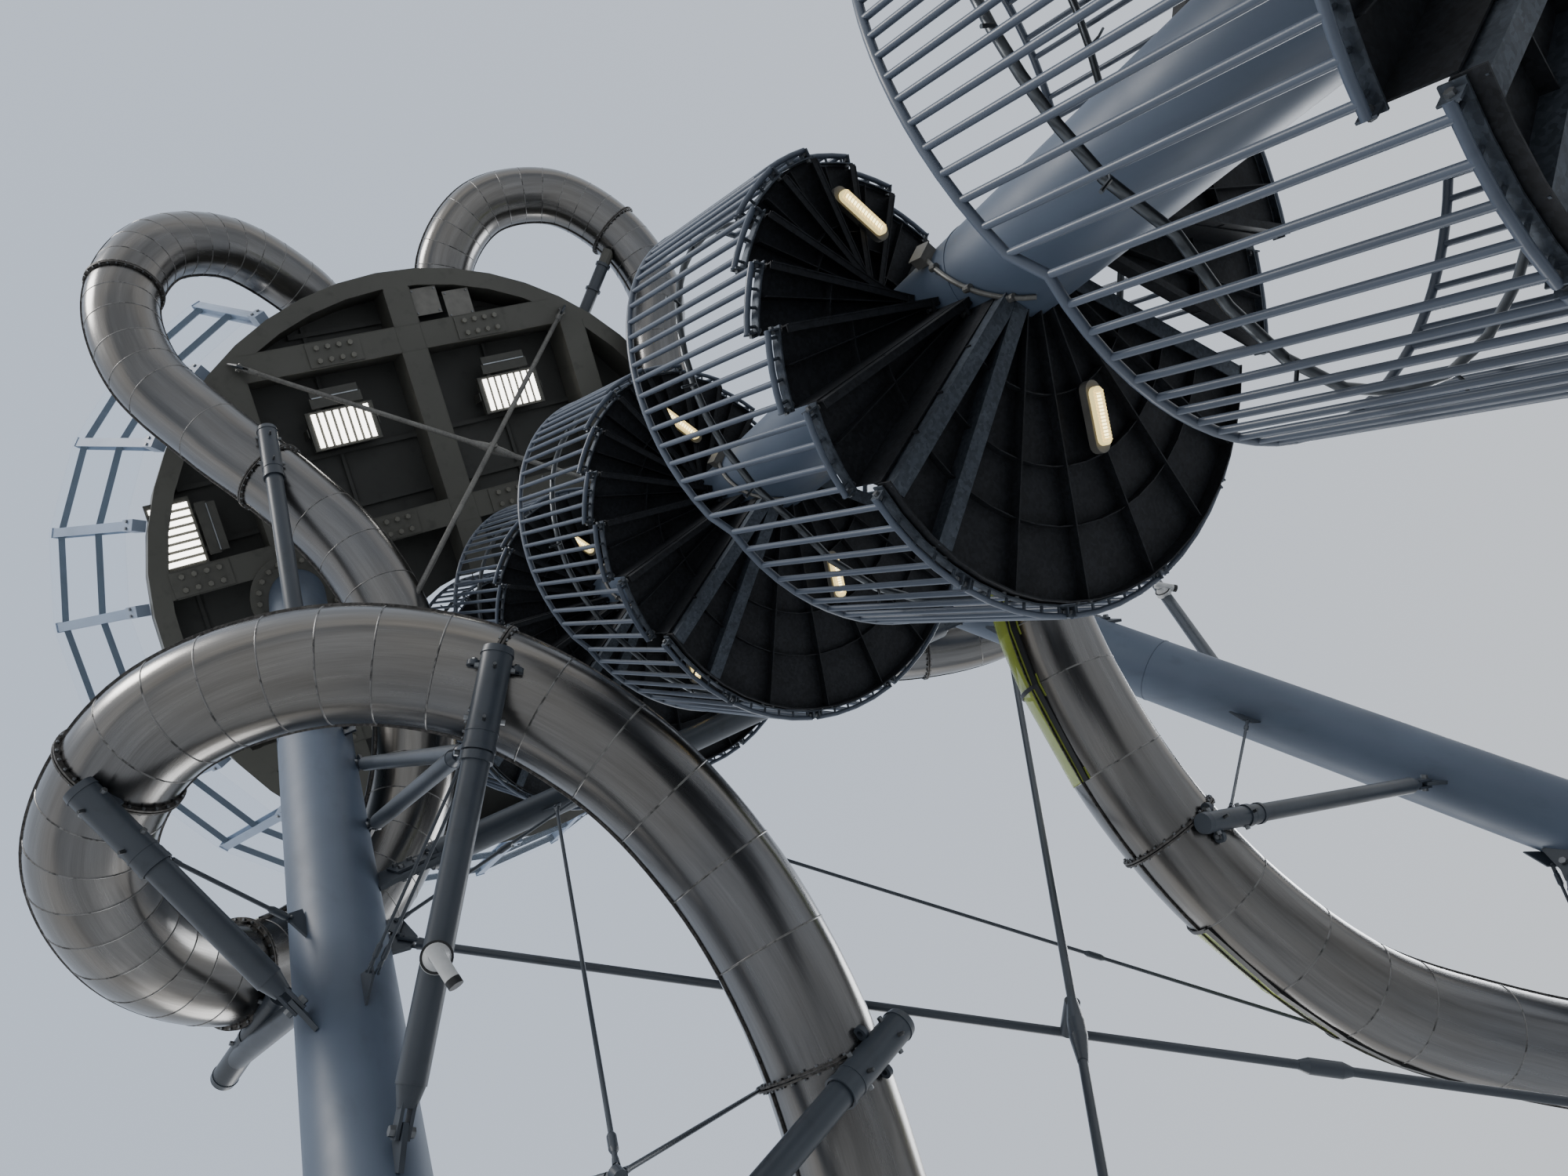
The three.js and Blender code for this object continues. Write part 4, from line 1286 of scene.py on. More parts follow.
def make_windows(key, joints):
    """Clear bent panes over the upper side, their dark gasket lines and clips"""
    track = TRACKS[key]
    panes = Shape()
    clips = Shape()
    step = 360 / TUBE_SIDES

    def out_at(s, turn):
        return turned(*track.frame(s), math.radians(turn))

    def place(s, turn, lift):
        return track.point(s) + out_at(s, turn) * (SLIDE_R + lift)

    for low, high, first, last in WINDOWS[key]:
        corners = [j * step for j in range(-TUBE_SIDES, TUBE_SIDES + 1)]
        turns = [turn for turn in corners if first - step <= turn <= last + step]
        n = len(turns)
        inside = [s for s in joints if low - GORE_SHORT <= s <= high + GORE_SHORT]
        for a, b in zip(inside, inside[1:]):
            points = [place(s, turn, 0.004) for s in (a, b) for turn in turns]
            panes.add(points, [[j, j + 1, n + j + 1, n + j] for j in range(n - 1)])
            for turn in (first, last):
                start, end = place(a, turn, 0.008), place(b, turn, 0.008)
                size = ((end - start).length + 0.01, 0.022, 0.045)
                clips.block((start + end) / 2, end - start, out_at(a, turn), size)
        for s in inside[::2]:
            for turn in range(first, last, CLIP_TURN):
                middle = turn + CLIP_TURN / 2
                clips.block(place(s, middle, 0.010), track.tangent(s), out_at(s, middle), CLIP_SIZE)
    panes.piece(f"slide_{key}_windows", SLIDE_WINDOW, (), 60)
    clips.piece(f"slide_{key}_window_clips", GASKET)


for key in "ab":
    joints, flanges = stations(key)
    make_skin(key, joints)
    make_seams(key, joints, flanges)
    make_flanges(key, flanges)
    make_fins(key, joints)
    make_windows(key, joints)


# Bracing, slide arms and stays

STRUT = (Vector((-2.8, 2.6, 10.14)), Vector((4.12, 1.08, 11.34)))
STRUT_R = 0.11
ROD_R = 0.028
# Length of the wider tube at an arm's end
SLEEVE = 0.62
# From the middle of a fork out to its bolt heads
FORK_HALF = 0.037
# Half length of the thick node where two rods cross, and the length of its taper on each side
NODE_HALF = 0.06
NODE_TAPER = 0.19


def off_column(index, p, q):
    """Where the line from p on a column's axis towards q leaves the column"""
    along = (q - p).normalized()
    axis = column_direction(index)
    flat = along - axis * along.dot(axis)
    return p + along * (COLUMN_R / max(flat.length, 0.25))


def clevis(steel, bolts, seat, along, radius, reach=0.26, tall=0.24):
    """Lug plate on a column, a fork round it and the pin; the tube starts at seat + along * reach"""
    along = along.normalized()
    side, up = square_to(along)
    back, nose = seat - along * 0.06, seat + along * (reach * 0.62)
    lug = [back - up * tall / 2, nose - up * tall / 5, nose + up * tall / 5, back + up * tall / 2]
    steel.slab([p - side * 0.014 for p in lug], side * 0.028)
    for sign in (-1, 1):
        centre = seat + along * (reach * 0.66) + side * sign * 0.028
        steel.block(centre, along, side, (reach * 0.72, 0.018, tall * 0.36))
    steel.cone(seat + along * (reach * 0.86), seat + along * (reach + 0.09), radius * 0.62, radius, 28)
    bolts.bolt_pair(seat + along * (reach * 0.45), side, FORK_HALF, 0.06, 0.028)


def fork_end(shape, tip, along, radius):
    """Small fork and lock nut at a tie rod's end; the pin is at the tip"""
    along = along.normalized()
    side, _ = square_to(along)
    size = (radius * 5.4, radius * 0.5, radius * 2.2)
    for sign in (-1, 1):
        shape.block(tip + along * radius * 2.2 + side * sign * radius * 0.75, along, side, size)
    shape.cone(tip + along * radius * 4.6, tip + along * radius * 8.5, radius * 1.45, radius * 1.15, 14)
    shape.bolt_pair(tip, side, radius, radius * 1.7, radius * 0.7)


def lug_plate(shape, seat, normal, along, size=0.16, thickness=0.012):
    """Small welded plate on a surface with a nose that holds a rod's fork"""
    normal = normal.normalized()
    side = along.cross(normal).normalized()
    up = normal.cross(side).normalized()
    back, nose = seat - normal * 0.02, seat + normal * size * 0.5
    wide, narrow = up * size * 0.62, up * size * 0.16
    outline = [back - wide, nose - narrow, nose + narrow, back + wide]
    shape.slab([p - side * thickness / 2 for p in outline], side * thickness)


def make_strut():
    """Tube between the two bare columns, bolted to a gusset plate at both ends"""
    low, high = STRUT
    start = off_column(0, low, high)
    end = off_column(1, high, low)
    along = (end - start).normalized()
    body = Shape()
    bolts = Shape()
    body.tube([start + along * 0.42, end - along * 0.42], STRUT_R, 48)
    for seat, way in ((start, along), (end, -along)):
        side, up = square_to(way)
        back, nose = seat - way * 0.08, seat + way * 0.46
        gusset = [back - up * 0.21, nose - up * 0.10, nose + up * 0.10, back + up * 0.21]
        body.slab([p - side * 0.016 for p in gusset], side * 0.032)
        for sign in (-1, 1):
            body.block(seat + way * 0.27 + side * sign * 0.027, way, side, (0.34, 0.02, 0.22))
        for row in (-0.055, 0.055):
            for step in (0.15, 0.26, 0.37):
                bolts.bolt_pair(seat + way * step + up * row, side, FORK_HALF, 0.044, 0.024)
        body.cone(seat + way * 0.38, seat + way * 0.5, STRUT_R * 0.82, STRUT_R, 40)
    body.piece("strut_tube", ARM_PAINT, ["strut"])
    bolts.piece("strut_bolts", BOLT_STEEL)


def tie_rod(shape, p, q, radius, turnbuckle=None):
    """Round rod with a fork at both ends, and a turnbuckle at a share of the way if given"""
    along = (q - p).normalized()
    shape.tube([p + along * radius * 5, q - along * radius * 5], radius, 16)
    fork_end(shape, p, along, radius)
    fork_end(shape, q, -along, radius)
    if turnbuckle is not None:
        radii = (radius * 1.75, radius * 1.05)
        spindle(shape, p.lerp(q, turnbuckle), along, radius * 3.4, radius * 2, radii, 18)


def spindle(shape, centre, along, half, taper, radii, sides):
    """A short thick tube on a rod that tapers down to it on both sides"""
    wide, narrow = radii
    shape.tube([centre - along * half, centre + along * half], wide, sides)
    for sign in (-1, 1):
        end = centre + along * sign * half
        shape.cone(end, end + along * sign * taper, wide, narrow, sides)


def crossing(p, q, r, s):
    """The nearest points of the lines p to q and r to s"""
    u, v, w = q - p, s - r, p - r
    den = u.dot(u) * v.dot(v) - u.dot(v) ** 2
    along = (u.dot(v) * v.dot(w) - v.dot(v) * u.dot(w)) / den
    across = (u.dot(u) * v.dot(w) - u.dot(v) * u.dot(w)) / den
    return p + u * along, r + v * across


def make_crossed_rods(name, first, second, turnbuckle, material, further=0.0):
    """Two tie rods that pass at a long turned node, which may sit further along the second"""
    body = Shape()
    on, under = crossing(*first, *second)
    along = (second[1] - second[0]).normalized()
    tie_rod(body, *first, ROD_R, turnbuckle)
    tie_rod(body, *second, ROD_R)
    radii = (ROD_R * 1.9, ROD_R * 1.1)
    spindle(body, under + along * further, along, NODE_HALF, NODE_TAPER, radii, 24)
    if (on - under).length > 0.02:
        body.tube([on, under], ROD_R * 1.7, 20)
    body.piece(f"{name}_rods", material, [f"{name}_rods"])


def on_column(index, z, toward):
    """A lug's pin just outside a column on the side that faces a point"""
    p = column_at(index, z)
    seat = off_column(index, p, toward)
    return seat + (toward - seat).normalized() * 0.07, seat


# Upper end under the platform, column and level of the lower end
UPPER_RODS = (((1.36, -3.08, 15.86), 0, 11.76), ((-2.5, -2.24, 15.82), 1, 11.7))
# Column and level of the upper end, then of the lower end
LOWER_RODS = ((0, 9.8, 1, 1.6), (1, 11.1, 0, 0.85))


def make_rods():
    """The crossed rods from the platform to the bare columns, and those between the columns"""
    lugs = Shape()
    upper = []
    for start, index, z in UPPER_RODS:
        top = Vector(start)
        pin, seat = on_column(index, z, top)
        upper.append((top, pin))
        lug_plate(lugs, seat, pin - seat, column_direction(index), 0.26, 0.02)
        lug_plate(lugs, top + UP * 0.03, -UP, top - pin, 0.2, 0.02)
    make_crossed_rods("upper_cross", *upper, None, ROD_STEEL)
    lower = []
    for index, z, other, other_z in LOWER_RODS:
        a, b = column_at(index, z), column_at(other, other_z)
        pin_a, seat_a = on_column(index, z, b)
        pin_b, seat_b = on_column(other, other_z, a)
        lower.append((pin_a, pin_b))
        lug_plate(lugs, seat_a, pin_a - seat_a, column_direction(index), 0.34, 0.03)
        lug_plate(lugs, seat_b, pin_b - seat_b, column_direction(other), 0.34, 0.03)
    make_crossed_rods("lower_cross", *lower, 0.472, ARM_PAINT, 0.24)
    lugs.piece("rod_lugs", ARM_PAINT)


THIN_ARM_R = 0.064
# How much wider than its arm a sleeve is, on the first and on the second column
SLEEVE_WALL = (0.013, 0.007)
# Arms whose ring clamps show beside the tube
CLAMPED = (1, 4, 5, 6, 7, 8)


def arm_line(number):
    """Foot on the column's axis, touch beside the tube and tip beyond it, the same as the frame's"""
    _, index, z, key, near, side, beyond = ARMS[number - 1]
    track = TRACKS[key]
    s = track.nearest(near)
    centre = track.point(s)
    foot = column_at(index, z)
    away = track.tangent(s).cross((centre - foot).normalized()).normalized()
    touch = centre + away * side * (SLIDE_R + ARM_R - 0.02)
    reach = (touch - foot).normalized()
    return foot, touch + reach * beyond, reach, touch, centre, track.tangent(s)


def end_cap(shape, end, way, wide, length):
    """Slightly tapered cap that closes a tube at its end"""
    shape.cone(end - way * length, end, wide * 1.06, wide * 0.98, 44)


def arm_radius(column):
    """The arms on the second column are thinner"""
    return ARM_R if column == 0 else THIN_ARM_R


def make_arm(number, index, beyond):
    """Round arm from a column, sleeved where it passes the slide, with its pad and ring clamps"""
    foot, tip, reach, touch, centre, along = arm_line(number)
    radius = arm_radius(index)
    wide = radius + SLEEVE_WALL[index]
    seat = off_column(index, foot, tip)
    body = Shape()
    bolts = Shape()
    clevis(body, bolts, seat, reach, radius)
    sleeve_from = tip - reach * SLEEVE
    body.tube([seat + reach * 0.33, sleeve_from + reach * 0.02], radius, 40)
    body.tube([sleeve_from, tip - reach * 0.04], wide, 44)
    body.annulus(sleeve_from, reach, wide - 0.006, wide + 0.006, 0.03, 44)
    body.annulus(sleeve_from + reach * 0.10, reach, wide - 0.006, wide + 0.004, 0.012, 44)
    end_cap(body, tip, reach, wide, 0.045)
    inward = (centre - touch).normalized()
    across = reach.cross(inward).normalized()
    for step in (0.12, 0.44):
        for sign in (-1, 1):
            bolts.bolt(tip - reach * step + across * sign * (wide - 0.006), across * sign, 0.036, 0.03)
            bolts.bolt(tip - reach * (step + 0.04) - inward * wide * 0.98, -inward, 0.024, 0.045)
    hold = touch + reach * min(beyond - 0.1, 0)
    body.block(hold + inward * (wide + 0.01), along, reach, (0.10, 0.20, 0.045))
    for sign in (-1, 1) if number in CLAMPED else ():
        body.block(hold + inward * wide * 0.6 + reach * sign * 0.10, along, reach, (0.07, 0.02, 0.12))
        grip = hold + across * sign * (wide + 0.03) + inward * 0.03
        body.annulus(grip, reach, 0.020, 0.042, 0.03, 28)
        bolts.bolt(grip + reach * 0.015, reach, 0.036, 0.02)
    body.piece(f"slide_arm_{number}_tube", ARM_PAINT, [f"slide_arm_{number}"])
    bolts.piece(f"slide_arm_{number}_bolts", BOLT_STEEL)


# Level of the holder's foot on the first column, the ends of its short tube, and where its arm
# meets that tube
HOLDER_FOOT = 9.4
HOLDER = (Vector((-3.14, 3.27, 10.56)), Vector((-3.51, 3.97, 11.21)))
HOLDER_MEETS = Vector((-3.43, 3.81, 11.07))
# Start of the bracket on the ring beam, and the point on the slide that it aims at
RING_BRACKET = (Vector((1.70, -2.99, 16.15)), Vector((2.15, -3.96, 16.02)))


def make_holder():
    """Short tube under a flange of the first slide, with the arm that holds it"""
    low, high = HOLDER
    way = (high - low).normalized()
    foot = column_at(0, HOLDER_FOOT)
    reach = (HOLDER_MEETS - foot).normalized()
    body = Shape()
    bolts = Shape()
    wide = ARM_R + SLEEVE_WALL[0]
    body.tube([low, high], wide, 44)
    end_cap(body, low, -way, wide, 0.05)
    end_cap(body, high, way, wide, 0.05)
    body.annulus((low + high) / 2, way, wide - 0.006, wide + 0.006, 0.03, 44)
    seat = off_column(0, foot, HOLDER_MEETS)
    clevis(body, bolts, seat, reach, ARM_R)
    body.tube([seat + reach * 0.33, HOLDER_MEETS - reach * wide * 0.6], ARM_R, 40)
    side, _ = square_to(way)
    for step in (0.12, 0.62):
        bolts.bolt_pair(low + way * step, side, wide - 0.006, 0.036, 0.03)
    body.piece("slide_arm_9_tube", ARM_PAINT, ["slide_arm_9"])
    bolts.piece("slide_arm_9_bolts", BOLT_STEEL)


def make_ring_bracket():
    """Short collared tube from the platform's ring beam to the second slide"""
    low, high = RING_BRACKET
    way = (high - low).normalized()
    tip = low + way * 0.86
    body = Shape()
    body.tube([low, tip], ARM_R, 36)
    body.annulus(low + way * 0.50, way, ARM_R - 0.006, ARM_R + 0.022, 0.03, 36)
    body.annulus(tip, way, ARM_R - 0.006, ARM_R + 0.018, 0.04, 36)
    body.piece("ring_bracket_tube", ARM_PAINT)


# Small arms from a column to a flange: place on the column, slide, length along it,
# angle round the flange and radius of the tube
SMALL_ARMS = [
    ((-2.283, 1.882, 11.84), "a", 17.7, 25, 0.058),
    ((-2.407, 2.264, 10.87), "a", 17.7, -15, 0.058),
    ((4.634, 1.295, 10.01), "b", 13.4, 250, 0.05),
]


def flange_point(key, s, degrees, out):
    """A point outside a slide's tube, at a length along it and an angle round it"""
    track = TRACKS[key]
    return track.point(s) + turned(*track.frame(s), math.radians(degrees)) * (SLIDE_R + out)


def make_small_arms():
    body = Shape()
    bolts = Shape()
    for seat, key, s, degrees, radius in SMALL_ARMS:
        seat = Vector(seat)
        tip = flange_point(key, s, degrees, 0.10)
        way = (tip - seat).normalized()
        clevis(body, bolts, seat, way, radius, 0.22, 0.18)
        body.tube([seat + way * 0.29, tip - way * 0.14], radius, 32)
        body.cone(tip - way * 0.15, tip - way * 0.06, radius, radius * 0.6, 32)
        side, _ = square_to(way)
        body.block(tip - way * 0.03, way, side, (0.14, 0.02, 0.08))
        bolts.bolt_pair(tip, side, 0.01, 0.04, 0.03)
    body.piece("small_arm_tubes", ARM_PAINT)
    bolts.piece("small_arm_bolts", BOLT_STEEL)


# Stays that hold an arm from the column above it: arm, metres back from its tip, column,
# place of the lug, radius, and the gap between a pair
ARM_STAYS = [
    (2, 0.58, 0, (-3.079, 2.586, 9.563), 0.014, 0),
    (1, 0.67, 0, (-2.897, 2.830, 8.737), 0.010, 0.05),
    (7, 0.48, 1, (4.731, 2.189, 8.553), 0.012, 0),
    (8, 0.55, 1, (5.625, 3.273, 6.564), 0.012, 0),
]
STAY_NODE = Vector((-2.38, 3.09, 6.2))
STAY_R = 0.013
# Shares of the strut's length at which the stays start, and from there to a stay's end
STRUT_LUGS = (0.235, 0.266)
STAY_DROP = 0.07
# Level of the strut's stay on the first column, and of the two that hold the node
STRUT_STAY_FOOT = 9.5
NODE_STAY_FEET = (7.6, 4.9)


def make_arm_stays(rods, lugs):
    for number, back, column, seat, radius, pair in ARM_STAYS:
        _, tip, reach, _, _, _ = arm_line(number)
        seat = Vector(seat)
        hold = tip - reach * back
        side = (seat - hold) - reach * (seat - hold).dot(reach)
        side.normalize()
        wide = arm_radius(column)
        lug_plate(lugs, hold + side * (wide - 0.004), side, reach, 0.15)
        out = (hold - seat).normalized()
        lug_plate(lugs, seat, out, column_direction(column), 0.26, 0.014)
        start, end = hold + side * (wide + 0.06), seat + out * 0.12
        across = out.cross(UP).normalized() * pair / 2
        for sign in (-1, 1) if pair else (1,):
            tie_rod(rods, start + across * sign, end + across * sign, radius, 0.9)
        lugs.annulus(hold, reach, wide, wide + 0.016, 0.05, 32)


def make_long_stays(rods, lugs):
    """Stays from the strut and the first slide to the left column and to each other"""
    low, high = STRUT
    way = (high - low).normalized()
    _, up = square_to(way)
    first, second = (low.lerp(high, share) - up * STRUT_R for share in STRUT_LUGS)
    for seat in (first, second):
        lug_plate(lugs, seat, -up, way, 0.16)
    pin, seat = on_column(0, STRUT_STAY_FOOT, first)
    lug_plate(lugs, seat, pin - seat, column_direction(0), 0.2)
    first, second = first - up * STAY_DROP, second - up * STAY_DROP
    tie_rod(rods, second, pin, STAY_R, 0.45)
    tie_rod(rods, first, STAY_NODE, STAY_R, 0.95)
    tie_rod(rods, flange_point("a", 20.8, 60, 0.07), STAY_NODE, STAY_R, 0.06)
    tie_rod(rods, second, flange_point("b", 28.3, 37, 0.08), 0.014, 0.55)
    for z in NODE_STAY_FEET:
        pin, seat = on_column(0, z, STAY_NODE)
        lug_plate(lugs, seat, pin - seat, column_direction(0), 0.2)
        tie_rod(rods, STAY_NODE, pin, 0.014)
    rods.tube([STAY_NODE - UP * 0.03, STAY_NODE + UP * 0.03], 0.034, 14)


def make_stays():
    rods = Shape()
    lugs = Shape()
    make_arm_stays(rods, lugs)
    make_long_stays(rods, lugs)
    rods.piece("stay_rods", ARM_PAINT)
    lugs.piece("stay_lugs", ARM_PAINT)


make_strut()
make_rods()
for arm in ARMS:
    make_arm(arm[0], arm[1], arm[-1])
make_holder()
make_ring_bracket()
make_small_arms()
make_stays()


def camera_housing(number, seat, out, look):
    """Small round base with a stubby tube that looks along a direction"""
    body = Shape()
    dark = Shape()
    out = out.normalized()
    look = look.normalized()
    body.cone(seat, seat + out * 0.05, 0.085, 0.085, 28)
    body.cone(seat + out * 0.05, seat + out * 0.10, 0.075, 0.045, 28)
    pivot = seat + out * 0.12
    body.tube([seat + out * 0.08, pivot + out * 0.01], 0.022, 12)
    body.tube([pivot - look * 0.05, pivot + look * 0.15], 0.040, 24)
    dark.tube([pivot + look * 0.15, pivot + look * 0.19], 0.041, 24)
    dark.annulus(seat + out * 0.05, out, 0.03, 0.0855, 0.008, 28)
    body.piece(f"camera_{number}_body", WHITE_PLASTIC)
    dark.piece(f"camera_{number}_lens", GASKET)


# Arm, metres back from its tip, what the base faces and the way the camera looks
CAMERAS = (
    (1, 1.77, (-4.11, 0.7, 1.5), (0.3, 0.75, -0.6)),
    (6, 1.69, (2.0, -2.5, 9.0), (0.85, 0.25, -0.45)),
)


def place_cameras():
    for number, (arm, back, aim, look) in enumerate(CAMERAS, 1):
        _, tip, reach, _, _, _ = arm_line(arm)
        base = tip - reach * back
        toward = (Vector(aim) - base).normalized()
        out = (toward - reach * toward.dot(reach)).normalized()
        seat = base + out * (arm_radius(ARMS[arm - 1][1]) - 0.01)
        camera_housing(number, seat, out, Vector(look))


place_cameras()


# Run-out posts, cradles and the rail over the tube mouths

POST_PLATE = 0.025
# Outline of a fin on a post's plate, as distance out and height over the plate
POST_FIN = ((0.07, 0), (0.22, 0), (0.22, 0.025), (0.075, 0.155))
# Degrees that a saddle reaches up each side of the tube
SADDLE_TURN = 52
# Half width and height of a cradle's plates, and the radius of the curve that takes the tube
CRADLE_HALF = 0.40
CRADLE_SIDE = 0.30
CRADLE_R = 0.43


def make_post(key, x, y, top):
    """Round post with a foot plate and a bent saddle under the tube"""
    track = TRACKS[key]
    s = track.nearest((x, y, top))
    body = Shape()
    bolts = Shape()
    foot = Vector((x, y, 0))
    plate_top = foot + UP * POST_PLATE
    under = track.point(s).z - SLIDE_R * 1.02
    body.disc(foot, UP, 0.26, POST_PLATE, 40)
    body.tube([foot + UP * 0.01, foot + UP * (under - 0.02)], ARM_R, 36)
    foot_fins(body, plate_top, 4, 45, POST_FIN, 0.012)
    bolts.bolt_circle(plate_top, UP, 0.21, 8, 0.036, 0.03)
    saddle(body, track, s, 0.12)
    body.piece(f"slide_{key}_post_steel", ARM_PAINT, [f"slide_{key}_post"])
    bolts.piece(f"slide_{key}_post_bolts", BOLT_STEEL)


def saddle(shape, track, s, width):
    """Bent plate that fits under the tube"""
    side, up = track.frame(s)
    along = track.tangent(s)
    centre = track.point(s)
    turns = [-90 + SADDLE_TURN * (k / 6 - 1) for k in range(13)]
    rays = [turned(side, up, math.radians(turn)) for turn in turns]
    outline = [centre + ray * (SLIDE_R + 0.026) for ray in rays]
    outline += [centre + ray * (SLIDE_R + 0.002) for ray in rays[::-1]]
    shape.slab([p - along * width / 2 for p in outline], along * width)


def make_cradle(key, x, y):
    """Two shaped plates on a foot plate that hold the end of a run-out"""
    track = TRACKS[key]
    body = Shape()
    bolts = Shape()
    centre = track.point(track.nearest((x, y, 0.64)))
    base = Vector((centre.x, centre.y, 0))
    x_way, y_way = Vector((1, 0, 0)), Vector((0, 1, 0))
    corners = ((-CRADLE_HALF, 0.02), (CRADLE_HALF, 0.02), (CRADLE_HALF, CRADLE_SIDE))
    outline = [base + y_way * step + UP * z for step, z in corners]
    for k in range(9):
        outline.append(centre + turned(y_way, UP, math.radians(-35 - 110 * k / 8)) * CRADLE_R)
    outline.append(base - y_way * CRADLE_HALF + UP * CRADLE_SIDE)
    body.block(base + UP * 0.01, x_way, y_way, (0.40, 1.05, 0.02))
    for offset in (-0.077, 0.063):
        body.slab([p + x_way * offset for p in outline], x_way * 0.014)
    for y_step in (-0.25, 0.0, 0.25):
        body.block(base + y_way * y_step + UP * 0.11, x_way, y_way, (0.126, 0.012, 0.18))
    for x_step in (-0.15, 0.15):
        for y_step in (-0.45, -0.15, 0.15, 0.45):
            bolts.bolt(base + x_way * x_step + y_way * y_step + UP * 0.02, UP, 0.034, 0.028)
    body.piece(f"slide_{key}_cradle_steel", ARM_PAINT, [f"slide_{key}_cradle"])
    bolts.piece(f"slide_{key}_cradle_bolts", BOLT_STEEL)


make_post("a", -3.8, 1.66, 1.4)
make_post("b", 7.6, 0.35, 1.6)
make_cradle("a", 0.7, 1.45)
make_cradle("b", 3.7, 0.45)


# The rail over the mouths: its radius, its height over the deck and the angles of its posts
ENTRY_R = 3.48
ENTRY_HEIGHT = 1.2
ENTRY_POSTS = (238, 261.5, 288, 306)


def make_entry_rail():
    """Bent rail over the two mouths, on posts that stand on the deck"""
    rail = Shape()
    top = DECK_TOP + ENTRY_HEIGHT
    rail.tube([polar(ENTRY_R, 237 + 70 * k / 24, top) for k in range(25)], 0.03, 20)
    for angle in ENTRY_POSTS:
        rail.tube([polar(ENTRY_R, angle, z) for z in (DECK_TOP, top)], 0.024, 20)
        rail.disc(polar(ENTRY_R, angle, DECK_TOP + 0.0005), UP, 0.06, 0.01, 24)
    rail.piece("entry_rail_tubes", PALE_STEEL, ["slide_entry_rail"])


make_entry_rail()


# Stair lamps and their cables

LAMP_WIDTH = 0.078
LAMP_RIBS = 15
# Lamp under a landing: distance from the column's axis, angle, the way it lies and its length
LANDING_LAMP = (0.87, 69, 81, 0.30)
# Lamp under a tread: which tread, the way it lies, its length and its usual distance from the axis
LAMP_STEP = 6
LAMP_TURN = 216
LAMP_LENGTH = 0.36
LAMP_OUT = 0.80
# Distance from the axis and degrees from the tread's middle, by landing, where not the usual ones
LAMP_SPOTS = {2: (0.90, 8), 4: (0.76, -4)}


def bulkhead_lamp(number, seat, along, length):
    """Long rounded housing under a tread, with a ribbed warm front and a bright core"""
    along = along.normalized()
    side = along.cross(UP).normalized()
    body = Shape()
    glass = Shape()
    core = Shape()
    half = (length - LAMP_WIDTH) / 2

    def oblong(reach, half_width, drop):
        outline = []
        for sign in (1, -1):
            for k in range(9):
                round_end = turned(along, side, math.radians(-90 + 180 * k / 8)) * half_width
                outline.append(seat + (along * reach + round_end) * sign - UP * drop)
        return outline

    body.slab(oblong(half + 0.022, LAMP_WIDTH / 2 + 0.010, 0.05), UP * 0.046)
    glass.slab(oblong(half, LAMP_WIDTH / 2 - 0.004, 0.08), UP * 0.03)
    core.block(seat - UP * 0.0805, along, side, (2 * half, 0.026, 0.004))
    for k in range(LAMP_RIBS):
        rib_at = seat + along * (half + 0.01) * (2 * k / (LAMP_RIBS - 1) - 1) - UP * 0.084
        glass.block(rib_at, along, side, (0.006, LAMP_WIDTH - 0.016, 0.004))
    body.piece(f"stair_lamp_{number}_body", LAMP_BODY)
    glass.piece(f"stair_lamp_{number}_glass", LAMP_GLOW)
    core.piece(f"stair_lamp_{number}_core", LAMP_CORE)


def place_lamps():
    """Under each landing and under one tread of each turn"""
    radius, angle, lie, length = LANDING_LAMP
    for landing in range(1, TURNS):
        level = level_of(landing)
        spot = polar(radius, angle, 0) + column_at(2, level)
        spot.z = level - 0.062
        bulkhead_lamp(2 * landing - 1, spot, polar(1, lie, 0), length)
        start, end, low, high = step_list(landing)[LAMP_STEP]
        out, shift = LAMP_SPOTS.get(landing, (LAMP_OUT, 0))
        spot = column_at(2, (low + high) / 2) + polar(out, (start + end) / 2 + shift, 0)
        spot.z = high - 0.05
        bulkhead_lamp(2 * landing, spot, polar(1, LAMP_TURN, 0), LAMP_LENGTH)


# Junction boxes on the stair's column: their angle, and the lowest one's level
BOX_TURN = 215
BOX_LEVEL = 3.52
# How far the conduit falls and turns on its way round the column
CONDUIT_FALL = 0.62
CONDUIT_TURN = 109
CONDUIT_R = 0.013
CONDUIT_CLIP_R = 0.02


def make_cables():
    """A junction box in each turn, and the conduit round the column from it"""
    pipe = Shape()
    boxes = Shape()
    out = polar(1, BOX_TURN, 0)
    for turn in range(TURNS - 1):
        z = BOX_LEVEL + TURN_RISE * turn
        box_at = column_at(2, z) + out * (COLUMN_R + 0.036)
        boxes.block(box_at, out, UP, (0.06, 0.09, 0.10))
        boxes.block(box_at + out * 0.033, out, UP, (0.006, 0.10, 0.11))
        path = []
        for k in range(15):
            share = k / 14
            around = polar(COLUMN_R + 0.02, BOX_TURN - CONDUIT_TURN * share, 0)
            path.append(column_at(2, z - CONDUIT_FALL * share) + around)
        pipe.tube(path, CONDUIT_R, 10)
        for k in (3, 8, 12):
            pipe.tube([path[k] - UP * 0.02, path[k] + UP * 0.02], CONDUIT_CLIP_R, 10)
    pipe.piece("stair_conduit", ROD_STEEL)
    boxes.piece("stair_junction_boxes", LAMP_BODY)


place_lamps()
make_cables()


# Floor, light and view

# Half the side of the floor
FLOOR_REACH = 160
# Where the lamps aim
LIT_POINT = Vector((3, 4, 9))
# Position and colour of the studio's surroundings, from below to above
SURROUND = ((0.0, (0.94, 0.92, 0.89)), (0.45, (0.80, 0.85, 0.92)), (1.0, (0.64, 0.73, 0.88)))


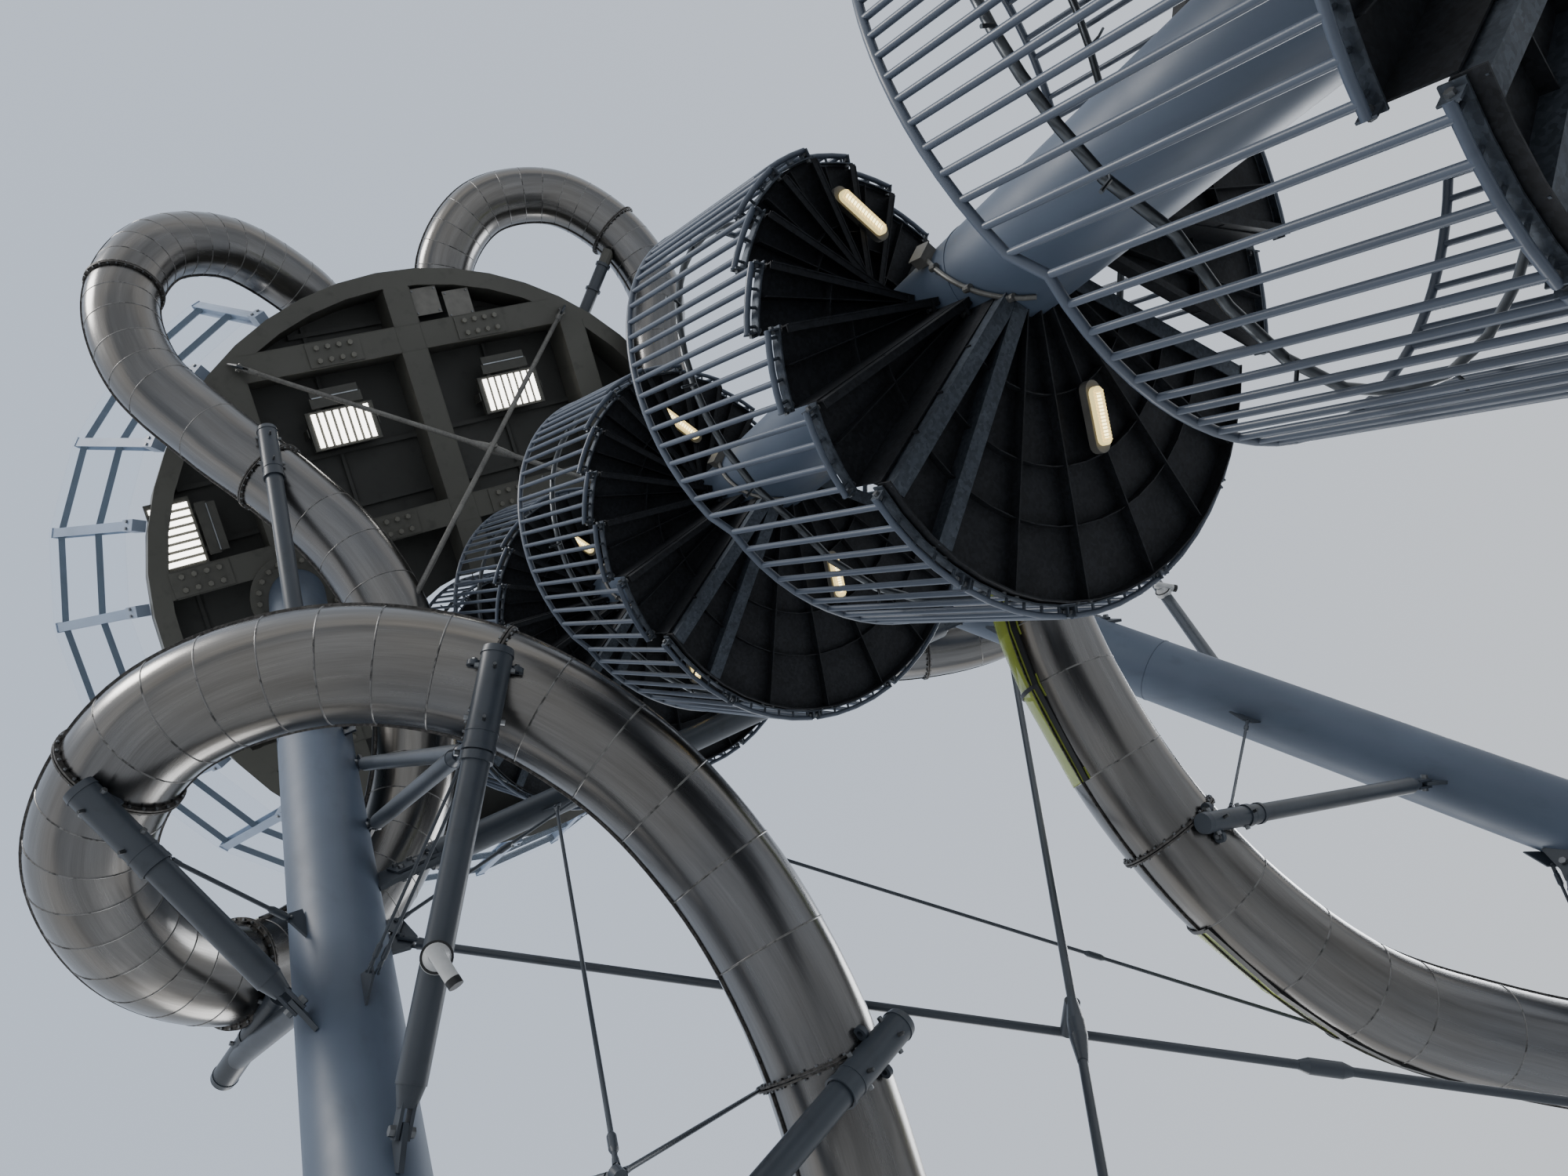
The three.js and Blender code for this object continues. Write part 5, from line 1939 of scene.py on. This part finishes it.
def make_floor():
    f = Finish("studio_floor_pale", 0.75)
    f.colour(f.ramp(f.noise(0.3, 3), [(0.3, (0.52, 0.52, 0.515)), (0.7, (0.56, 0.56, 0.555))]))
    mesh = bpy.data.meshes.new("studio_floor")
    corners = [(x * FLOOR_REACH, y * FLOOR_REACH, 0) for x, y in ((-1, -1), (1, -1), (1, 1), (-1, 1))]
    mesh.from_pydata(corners, [], [[0, 1, 2, 3]])
    mesh.materials.append(f.material)
    floor = bpy.data.objects.new("studio_floor", mesh)
    bpy.context.scene.collection.objects.link(floor)


def area_light(name, place, size, power, colour=(1, 1, 1)):
    lamp = bpy.data.lights.new(name, "AREA")
    lamp.shape = "DISK"
    lamp.size = size
    lamp.energy = power
    lamp.color = colour
    made = bpy.data.objects.new(name, lamp)
    made.location = place
    made.rotation_euler = (LIT_POINT - Vector(place)).to_track_quat("-Z", "Y").to_euler()
    bpy.context.scene.collection.objects.link(made)


def make_world():
    world = bpy.data.worlds.new("studio")
    world.use_nodes = True
    tree = world.node_tree
    place = tree.nodes.new("ShaderNodeTexCoord")
    split = tree.nodes.new("ShaderNodeSeparateXYZ")
    ramp = tree.nodes.new("ShaderNodeValToRGB")
    tree.links.new(place.outputs["Generated"], split.inputs[0])
    tree.links.new(split.outputs["Z"], ramp.inputs["Fac"])
    line = ramp.color_ramp
    line.elements.new(0.45)
    for element, (position, colour) in zip(line.elements, SURROUND):
        element.position = position
        element.color = (*colour, 1)
    tree.links.new(ramp.outputs["Color"], tree.nodes["Background"].inputs["Color"])
    tree.nodes["Background"].inputs["Strength"].default_value = 1.0
    bpy.context.scene.world = world


# The fitted camera: where it stands, the ways its right, up and back sides face, and its lens
EYE = Vector((-3.67, 2.95, 1.506))
EYE_RIGHT = Vector((0.8592, 0.0805, -0.5054))
EYE_UP = Vector((0.0694, -0.9968, -0.0408))
EYE_BACK = Vector((-0.5071, 0.0, -0.8619))
LENS = 27.05


def make_view():
    camera = bpy.data.cameras.new("photo_view")
    camera.lens = LENS
    camera.sensor_width = 36
    camera.sensor_fit = "HORIZONTAL"
    camera.clip_end = 400
    made = bpy.data.objects.new("photo_view", camera)
    turn = Matrix((EYE_RIGHT, EYE_UP, EYE_BACK)).transposed()
    made.matrix_world = Matrix.Translation(EYE) @ turn.to_4x4()
    bpy.context.scene.collection.objects.link(made)
    bpy.context.scene.camera = made


make_floor()
make_world()
area_light("key_light", (-26, -20, 34), 14, 11000, (1.0, 0.97, 0.93))
area_light("side_light", (34, 10, 20), 16, 5000, (0.93, 0.96, 1.0))
area_light("back_light", (4, 40, 22), 16, 4000)
make_view()
